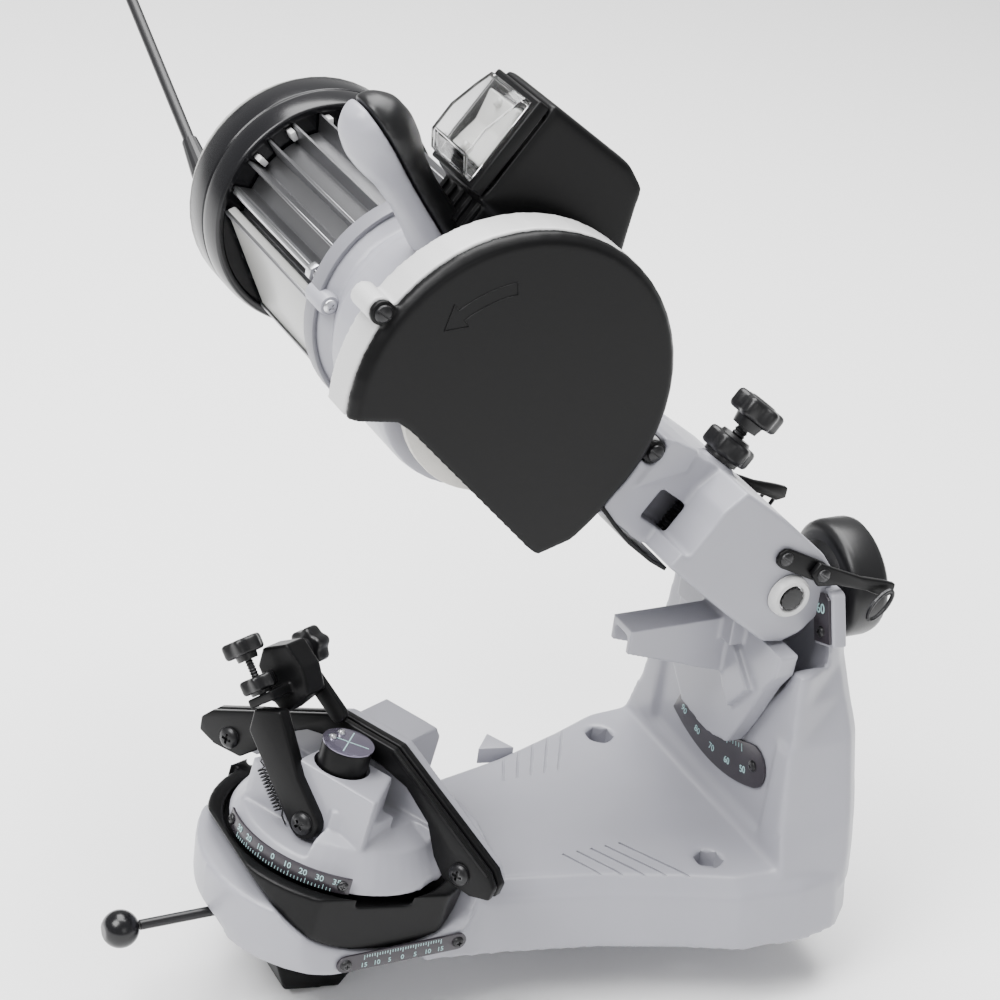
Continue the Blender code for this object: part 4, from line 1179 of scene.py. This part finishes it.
@dataclass
class Base:
    """The base casting with its grooves and ear, and the scale plates on it."""

    shop: Workshop
    place: Place
    tilt: Place
    bolt_at: float = 57.8

    def build(self) -> None:
        """Make the base and its plates."""
        finish = self.shop.finish
        cuts = [self.groove(sign, i) for sign in (1, -1) for i in range(5)]
        cuts += [Shape.prism(arc((sign * self.bolt_at, 0), 7.8, 0, 300, 5), 26.2, 42) for sign in (1, -1)]
        self.shop.cast("base_casting", finish.grey, 1.7, 12, self.place, cuts=cuts)
        ear = Shape.soften(Shape.prism([(-76, -58), (-64, -69), (-60, -50)], 26, 35.4), 0.5)
        self.shop.add("base_ear", ear, finish.grey, "base", self.place)
        self.down_scale()
        self.tilt_scale()
        self.index_plate()

    @staticmethod
    def groove(sign: int, index: int) -> Mesh:
        """Make one of the fanned grooves in the top, as the shape to cut away.

        Args:
            sign: the side it lies on, 1 for right and -1 for left.
            index: its number, counted from the front.

        Returns:
            The shape.
        """
        inner = Vector((sign * 33, -70 + 8 * index, 36))
        outer = Vector((sign * (64 + 3.2 * index), -54 + 10.5 * index, 36))
        along = outer - inner
        bm = Shape.block((0, -0.75, -1.1), (along.length, 0.75, 4))
        turn = Matrix.Rotation(math.atan2(along.y, along.x), 4, "Z")
        bmesh.ops.transform(bm, matrix=Matrix.Translation(inner) @ turn, verts=bm.verts)
        return bm

    def down_scale(self) -> None:
        """The straight scale on the lobe's flat, with its figures, ticks and screws."""
        lo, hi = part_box("down_angle_plate")
        face = hi[0] / MM
        mid = (lo[1] + hi[1]) / 2 / MM
        plate = arc((mid + 29.5, 15.6), 4.6, -90, 90, 8) + arc((mid - 29.5, 15.6), 4.6, 90, 270, 8)
        bm = Shape.soften(Shape.prism(plate, face - 1.2, face + 0.2, Axis.X), 0.3)
        self.shop.add("down_plate_face", bm, self.shop.finish.plate, "base", self.place, ["down_angle_plate"])
        for i, value in enumerate((15, 10, 5, 0, 5, 10, 15)):
            home = self.place.moved((face + 0.25, mid - 20 + 6.7 * i, 13.6), FACING_X)
            self.shop.figures("down_figure_%d" % i, str(value), 3.6, home, "base")
        for i in range(31):
            tall = 2.6 if i % 5 == 0 else 1.5
            y = mid - 20.1 + 1.34 * i
            tick = Shape.block((face, y - 0.16, 19.4 - tall), (face + 0.35, y + 0.16, 19.4))
            self.shop.add("down_tick_%d" % i, tick, self.shop.finish.print, "base", self.place)
        for i, y in enumerate((mid - 29.5, mid + 29.5)):
            self.shop.screw("down_plate_screw_%d" % i, self.place, (face + 0.2, y, 15.6), "base", Axis.X,
                            radius=2.9)

    def tilt_scale(self) -> None:
        """The curved scale behind the bracket."""
        lo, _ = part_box("tilt_angle_plate")
        face = lo[1] / MM - 31.8
        band = arc((0, 0), 99, 247, 296, 20) + arc(self._round(87.5, 296), 11.5, 296, 476, 8)[1:-1]
        band += arc((0, 0), 76, 296, 247, 20)
        bm = Shape.soften(Shape.prism(band, face, face + 1.2, Axis.Y), 0.3)
        self.shop.add("tilt_plate_face", bm, self.shop.finish.plate, "base", self.tilt, ["tilt_angle_plate"])
        for i, value in enumerate((90, 80, 70, 60, 50)):
            angle = 252 + 9.5 * i
            x, z = self._round(91, angle)
            turn = FACING_Y @ Matrix.Rotation(math.radians(angle - 270), 3, "Z")
            home = self.tilt.moved((x, face - 0.1, z), turn)
            self.shop.figures("tilt_figure_%d" % i, str(value), 5.2, home, "base")
        for i in range(21):
            angle = 250 + 2.0 * i
            tall = 4.0 if i % 5 == 0 else 2.4
            tick = Shape.block((77.5, -0.2, -0.2), (77.5 + tall, 0.1, 0.2))
            where = Matrix.Translation((0, face, 0)) @ Matrix.Rotation(math.radians(-angle), 4, "Y")
            bmesh.ops.transform(tick, matrix=where, verts=tick.verts)
            self.shop.add("tilt_tick_%d" % i, tick, self.shop.finish.print, "base", self.tilt)
        x, z = self._round(87.5, 296.5)
        self.shop.screw("tilt_plate_screw", self.tilt, (x, face, z), "base", Axis.Y, -1, 3.0)

    @staticmethod
    def _round(radius: float, angle: float) -> Point2:
        """A point round the tilt axis, in its own frame."""
        return (radius * math.cos(math.radians(angle)), radius * math.sin(math.radians(angle)))

    def index_plate(self) -> None:
        """The small plate with the set angle on the upright's right top corner."""
        finish = self.shop.finish
        turn = Matrix.Rotation(math.radians(-20), 3, "Y")
        home = self.tilt.moved((51, 14.5, 13), turn)
        ear = Shape.prism([(-9, -14), (8, -14), (8, 12), (4, 15), (-9, 15)], 0.3, 8, Axis.Y)
        Shape.soften(ear, 1.2, 30, 3)
        self.shop.add("index_ear", ear, finish.grey, "base", home)
        plate = Shape.prism([(-7, -12), (6.5, -12), (6.5, 10), (3.4, 13), (-7, 13)], -1.2, 0.3, Axis.Y)
        Shape.soften(plate, 0.3)
        self.shop.add("index_plate", plate, finish.plate, "base", home)
        self.shop.figures("index_figure", "60", 7.0, home.moved((-0.5, -1.35, 5), FACING_Y), "base")
        self.shop.screw("index_screw", home, (-0.5, -1.2, -6.5), "base", Axis.Y, -1, 2.8)


@dataclass
class Vise:
    """The cradle, turntable, jaws, eccentric knob and clamping lever."""

    shop: Workshop
    cradle: Place
    table: Place
    low: float = -46.4

    def build(self) -> None:
        """Make the vise's pieces."""
        finish = self.shop.finish
        pointer = Shape.prism([(-57, -26), (-66, -22), (-60, -34)], -62, -45.6)
        self.shop.cast("cradle_ring", finish.black, 1.0, 14, self.cradle, extra=[pointer])
        self.shop.cast("cradle_lock_knob", finish.black, 0.8, 12, self.cradle)
        self.shop.dress(finish.steel, "cradle_stud")
        ledge = Shape.prism([(-14, -34.4), (31, -34.4), (31, -30), (22, -6), (-14, -6)], -30, -1)
        well = Shape.turned([(0, -36), (13.7, -36), (13.7, 20), (0, 20)], Axis.Z, 64, (1, -19, 0))
        self.shop.cast("turntable_casting", finish.grey, 0.9, 4, self.table, extra=[ledge], cuts=[well])
        self.jaws()
        self.scale()
        self.knob()
        self.lever()

    def jaws(self) -> None:
        """Both jaws with their guide screws."""
        finish = self.shop.finish
        self.shop.softened("rear_jaw", finish.black, 0.8, 25, 2)
        self.shop.softened("front_jaw", finish.black, 0.9, 25, 2)
        lip = Shape.prism([(18, 11.6), (84, -21.4), (84, -23), (18, 9.6)], -6.1, -5.1, Axis.Y)
        self.shop.add("jaw_lip", Shape.soften(lip, 0.3), finish.black, "moving_jaw", self.table)
        for side, x in (("left", -70), ("right", 70)):
            self.shop.screw(side + "_jaw_screw", self.table, (x, -5.3, -29), "moving_jaw", Axis.Y, -1,
                            radius=5.4, head=3.2)

    def scale(self) -> None:
        """The curved scale on the turntable's skirt."""
        finish = self.shop.finish
        base = self.low + 0.5
        profile = arc((0, 0), 56.5, -130, -50, 28) + arc((0, 0), 55.2, -50, -130, 28)
        bm = Shape.soften(Shape.prism(profile, base, base + 8.6), 0.25)
        self.shop.add("angle_plate_face", bm, finish.plate, "turntable", self.table, ["angle_scale_plate"])
        for i, value in enumerate((30, 20, 10, 0, 10, 20, 30, 35)):
            angle = -116 + 8.4 * i
            turn = Matrix.Rotation(math.radians(angle + 90), 3, "Z") @ FACING_Y
            x, y = arc((0, 0), 56.7, angle, angle, 1)[0]
            home = self.table.moved((x, y, base + 5.6), turn)
            self.shop.figures("angle_figure_%d" % i, str(value), 4.2, home, "turntable")
        for i in range(33):
            angle = -117 + 1.8 * i
            tall = 2.4 if i % 5 == 0 else 1.4
            tick = Shape.block((56.3, -0.15, base + 0.4), (56.75, 0.15, base + 0.4 + tall))
            bmesh.ops.rotate(tick, matrix=Matrix.Rotation(math.radians(angle), 3, "Z"), verts=tick.verts)
            self.shop.add("angle_tick_%d" % i, tick, finish.print, "turntable", self.table)
        for i, angle in enumerate((-126, -54)):
            turn = Matrix.Rotation(math.radians(angle), 3, "Z")
            home = self.table.moved((0, 0, 0), turn)
            self.shop.screw("angle_plate_screw_%d" % i, home, (56.5, 0, base + 4.4), "turntable", Axis.X,
                            radius=2.7)

    def knob(self) -> None:
        """The eccentric knob with its marked disc and two pins."""
        finish = self.shop.finish
        self.shop.softened("eccentric_knob", finish.black, 0.8, 40, 3)
        x, y = 1, -19
        disc = Shape.turned([(0, 11.4), (12.6, 11.4), (12.6, 10.5), (0, 10.5)], Axis.Z, 48, (x, y, 0))
        Shape.soften(disc, 0.3)
        self.shop.add("eccentric_disc", disc, finish.disc, "eccentric", self.table)
        for i, angle in enumerate((0, 90)):
            mark = Shape.block((-10, -0.25, 11.35), (10, 0.25, 11.55))
            turn = Matrix.Translation((x, y, 0)) @ Matrix.Rotation(math.radians(angle + 20), 4, "Z")
            bmesh.ops.transform(mark, matrix=turn, verts=mark.verts)
            self.shop.add("disc_mark_%d" % i, mark, finish.print, "eccentric", self.table)
        for i, dy in enumerate((-3.5, 3.5)):
            outline = [(0, 13.4), (1.2, 13.0), (1.9, 12), (1.9, 11.3), (0, 11.3)]
            pin = Shape.turned(outline, Axis.Z, 20, (x - 7, y + dy, 0))
            self.shop.add("disc_pin_%d" % i, pin, finish.steel, "eccentric", self.table)

    def lever(self) -> None:
        """The clamping lever's rod and its glossy ball."""
        finish = self.shop.finish
        self.shop.softened("clamp_lever", finish.dark_steel, 0.4)
        lo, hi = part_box("clamp_lever_ball")
        centre = [(a + b) / 2 / MM for a, b in zip(lo, hi)]
        radius = (hi[0] - lo[0]) / 2 / MM
        bm = bmesh.new()
        bmesh.ops.create_uvsphere(bm, u_segments=40, v_segments=24, radius=radius)
        for vert in bm.verts:
            vert.co.y = min(vert.co.y, radius * 0.93)
            vert.co.y = max(vert.co.y, -radius * 0.9)
        bmesh.ops.translate(bm, verts=bm.verts, vec=centre)
        self.shop.add("lever_ball", bm, finish.gloss, "clamp_lever", None, ["clamp_lever_ball"])


@dataclass
class ChainStop:
    """The chain stop: arm, block, pawl, screw with its knobs, and the coil spring."""

    shop: Workshop
    place: Place
    screw_at: Point2 = (5.5, -4.0)

    def build(self) -> None:
        """Make the chain stop's pieces."""
        finish = self.shop.finish
        self.shop.softened("chain_stop_arm", finish.black, 1.2, 30, 3)
        self.shop.cast("chain_stop_block", finish.black, 0.6, 16, self.place)
        self.shop.screw("stop_pivot_screw", self.place, (0, -8, 0), "chain_stop", Axis.Y, -1, 5.6, 3.4)
        self.shop.softened("stop_pawl", finish.black, 0.8, 30, 3)
        self.knobs()
        self.spring()

    def knobs(self) -> None:
        """The adjusting screw with its knob, its lock knob and the pawl's knob."""
        finish = self.shop.finish
        centre = (*self.screw_at, 0)
        thread = [(0, 58.5)]
        for i in range(18):
            thread += [(2.0, 58.5 + 1.4 * i), (1.6, 59.2 + 1.4 * i)]
        shank = Shape.turned(thread + [(2, 84), (0, 84)], Axis.Z, 16, centre)
        self.shop.add("stop_screw_thread", shank, finish.dark_steel, "stop_screw", self.place,
                      ["stop_screw"], 20)
        grip = Shape.lobed(10.2, 1.7, 6, 83.2, 91.0, 1.8, centre=centre)
        self.shop.add("stop_screw_grip", grip, finish.knob, "stop_screw", self.place)
        neck = Shape.turned([(0, 80.4), (5, 80.4), (5.6, 84.4), (0, 84.4)], Axis.Z, 28, centre)
        self.shop.add("stop_screw_neck", neck, finish.knob, "stop_screw", self.place)
        lock = Shape.lobed(9.0, 1.6, 6, 64.8, 72.0, 1.7, centre=centre)
        self.shop.add("stop_lock_grip", lock, finish.knob, "stop_lock", self.place, ["stop_lock_knob"])
        collar = Shape.turned([(2.4, 63.3), (5.2, 63.3), (5.6, 66.2), (2.4, 66.2)], Axis.Z, 28, centre)
        self.shop.add("stop_lock_collar", collar, finish.knob, "stop_lock", self.place)
        at = (12, 0, 75)
        side = Shape.lobed(9.8, 1.7, 6, 30.0, 39.6, 2.0, Axis.Y, at)
        self.shop.add("pawl_knob_grip", side, finish.knob, "pawl_knob", self.place, ["pawl_knob"])
        stem = Shape.turned([(0, 25.7), (4.2, 25.7), (5.4, 30.8), (0, 30.8)], Axis.Y, 28, at)
        self.shop.add("pawl_knob_stem", stem, finish.knob, "pawl_knob", self.place)

    def spring(self) -> None:
        """The coil spring with its hooked ends, as a swept wire."""
        coils, radius, low, high = 13, 2.1, 9.0, 31.0
        steps = coils * 12
        path = [Vector((-13.2, -4, 2.0)), Vector((-13.2, -4, 6.5))]
        for i in range(steps + 1):
            angle = 2 * math.pi * coils * i / steps
            path.append(Vector((-13.2 + radius * math.cos(angle), -4 + radius * math.sin(angle),
                                low + (high - low) * i / steps)))
        path += [Vector((-12, -4, 34)), Vector((-8.4, -4.6, 36.4))]
        coil = Shape.tube(path, 0.42, 6)
        self.shop.add("stop_spring_coil", coil, self.shop.finish.dark_steel, "turntable", self.place,
                      ["stop_spring"])


@dataclass
class Cord:
    """The mains cord held taut above the machine, with its gland and plug."""

    shop: Workshop
    exit: tuple[float, float, float] = (-0.2360, -0.1745, 0.2940)
    way: tuple[float, float, float] = (-0.91, 0.0, 0.414)
    radius: float = 0.003
    free: float = 0.024
    total: float = 0.150
    points: int = 16

    def build(self) -> None:
        finish = self.shop.finish
        step = Vector(self.way).normalized()
        start = Vector(self.exit) + step * (self.free + 0.0003)
        end = Vector(self.exit) + step * self.total
        curve = bpy.data.curves.new("mains_cord_line", "CURVE")
        curve.dimensions = "3D"
        curve.bevel_depth = self.radius
        curve.bevel_resolution = 4
        curve.use_fill_caps = True
        line = curve.splines.new("POLY")
        line.points.add(self.points - 1)
        for i, point in enumerate(line.points):
            point.co = (*start.lerp(end, i / (self.points - 1)), 1)
        curve.materials.append(finish.rubber)
        cord = bpy.data.objects.new("mains_cord_line", curve)
        bpy.context.scene.collection.objects.link(cord)
        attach(cord, "head")
        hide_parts("mains_cord")
        self.shop.dress(finish.rubber, "mains_plug", "cord_gland")


# ------------------------------------------------------------------ studio


@dataclass(frozen=True)
class Lamp:
    """One square soft light that faces the object.

    Args:
        name: the light's name.
        at: where it hangs, in metres.
        size: the length of its side.
        power: what it gives, in watts.
    """

    name: str
    at: tuple[float, float, float]
    size: float
    power: float


@dataclass
class Studio:
    """Camera, soft lights and the pale floor."""

    azimuth: float = 59.82
    elevation: float = 28.06
    roll: float = -7.76
    distance: float = 1.2894
    target: tuple[float, float, float] = (0.0, -0.1135, 0.2242)
    lens: float = 99.86
    sensor: float = 36.0
    lamps: tuple[Lamp, ...] = (
        Lamp("key_light", (0.2, -1.4, 1.9), 1.2, 75),
        Lamp("top_light", (-0.5, 0.1, 1.9), 1.6, 100),
        Lamp("fill_light", (1.7, -0.1, 0.8), 0.8, 4),
    )
    air: float = 0.55
    floor_reach: float = 6.0
    floor_grey: float = 0.93
    floor_roughness: float = 0.8

    def camera(self) -> None:
        """Set the camera at the object's usual three-quarter view."""
        az, el, roll = (math.radians(a) for a in (self.azimuth, self.elevation, self.roll))
        away = Vector((math.sin(az) * math.cos(el), -math.cos(az) * math.cos(el), math.sin(el)))
        level = Vector((math.cos(az), math.sin(az), 0))
        rise = away.cross(level)
        right = level * math.cos(roll) - rise * math.sin(roll)
        up = level * math.sin(roll) + rise * math.cos(roll)
        data = bpy.data.cameras.new("camera")
        data.lens = self.lens
        data.sensor_width = self.sensor
        camera = bpy.data.objects.new("camera", data)
        turn = Matrix((right, up, away)).transposed().to_4x4()
        camera.matrix_world = Matrix.Translation(Vector(self.target) + away * self.distance) @ turn
        bpy.context.scene.collection.objects.link(camera)
        bpy.context.scene.camera = camera

    def light(self, lamp: Lamp) -> None:
        """Hang one light.

        Args:
            lamp: the light.
        """
        data = bpy.data.lights.new(lamp.name, "AREA")
        data.shape = "SQUARE"
        data.size = lamp.size
        data.energy = lamp.power
        made = bpy.data.objects.new(lamp.name, data)
        made.location = lamp.at
        facing = Vector(lamp.at) - Vector(self.target)
        made.rotation_euler = facing.to_track_quat("Z", "Y").to_euler()
        bpy.context.scene.collection.objects.link(made)

    def sky(self) -> None:
        """Fill the room with even white light."""
        world = bpy.data.worlds.new("studio_air")
        world.use_nodes = True
        background = world.node_tree.nodes["Background"]
        background.inputs["Color"].default_value = (1, 1, 1, 1)
        background.inputs["Strength"].default_value = self.air
        bpy.context.scene.world = world

    def floor(self, height: float) -> None:
        """Lay the floor.

        Args:
            height: its level in metres.
        """
        bm = bmesh.new()
        bmesh.ops.create_grid(bm, x_segments=1, y_segments=1, size=self.floor_reach)
        bmesh.ops.translate(bm, verts=bm.verts, vec=(0, 0, height))
        data = bpy.data.meshes.new("floor")
        bm.to_mesh(data)
        bm.free()
        floor = bpy.data.objects.new("floor", data)
        bpy.context.scene.collection.objects.link(floor)
        material = bpy.data.materials.new("pale_floor")
        material.use_nodes = True
        shader = material.node_tree.nodes["Principled BSDF"]
        shader.inputs["Base Color"].default_value = (*[self.floor_grey] * 3, 1)
        shader.inputs["Roughness"].default_value = self.floor_roughness
        data.materials.append(material)
        floor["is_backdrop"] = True

    def build(self, floor_height: float) -> None:
        """Make the studio.

        Args:
            floor_height: the level of the floor in metres.
        """
        self.camera()
        for lamp in self.lamps:
            self.light(lamp)
        self.sky()
        self.floor(floor_height)


def places(shop: Workshop) -> dict[str, Place]:
    """Read each group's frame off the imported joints.

    Args:
        shop: the workshop that holds the joints.

    Returns:
        The places by name.
    """
    joints = shop.joints
    world_x, world_y, world_z = (1, 0, 0), (0, 1, 0), (0, 0, 1)
    head_up = joints["depth_screw_turn"]["axis"]
    head_y = Vector(head_up).cross(Vector(world_x))
    table = joints["turntable_turn"]
    stop = joints["stop_swing"]
    cradle_y = Vector(table["axis"]).cross(Vector(world_x))
    return {
        "base": Place(Matrix.Identity(4)),
        "tilt": Place.at(joints["head_tilt"]["pos_m"], world_z, world_y),
        "head": Place.at(joints["head_swing"]["pos_m"], head_up, head_y),
        "cradle": Place.at(joints["down_angle"]["pos_m"], table["axis"], cradle_y),
        "table": Place.at(table["pos_m"], table["axis"], stop["axis"]),
        "stop": Place.at(stop["pos_m"], joints["stop_screw_turn"]["axis"], stop["axis"]),
    }


def main() -> None:
    """Load the frame, measure its box to set the floor, and build every group."""
    logging.basicConfig(level=logging.INFO, format="%(name)s: %(message)s")
    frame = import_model()
    cad_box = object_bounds()
    shop = Workshop(frame)
    where = places(shop)
    Studio().build(cad_box[0][2])
    Cord(shop).build()
    groups: list[Callable[[], None]] = [
        Base(shop, where["base"], where["tilt"]).build,
        Vise(shop, where["cradle"], where["table"]).build,
        ChainStop(shop, where["stop"]).build,
        Bracket(shop, where["tilt"]).build,
        Arm(shop, where["head"]).build,
        Guard(shop, where["head"]).build,
        Motor(shop, where["head"]).build,
        Handle(shop, where["head"]).build,
        Switch(shop, where["head"]).build,
    ]
    for build in groups:
        build()


if __name__ == "__main__":
    main()
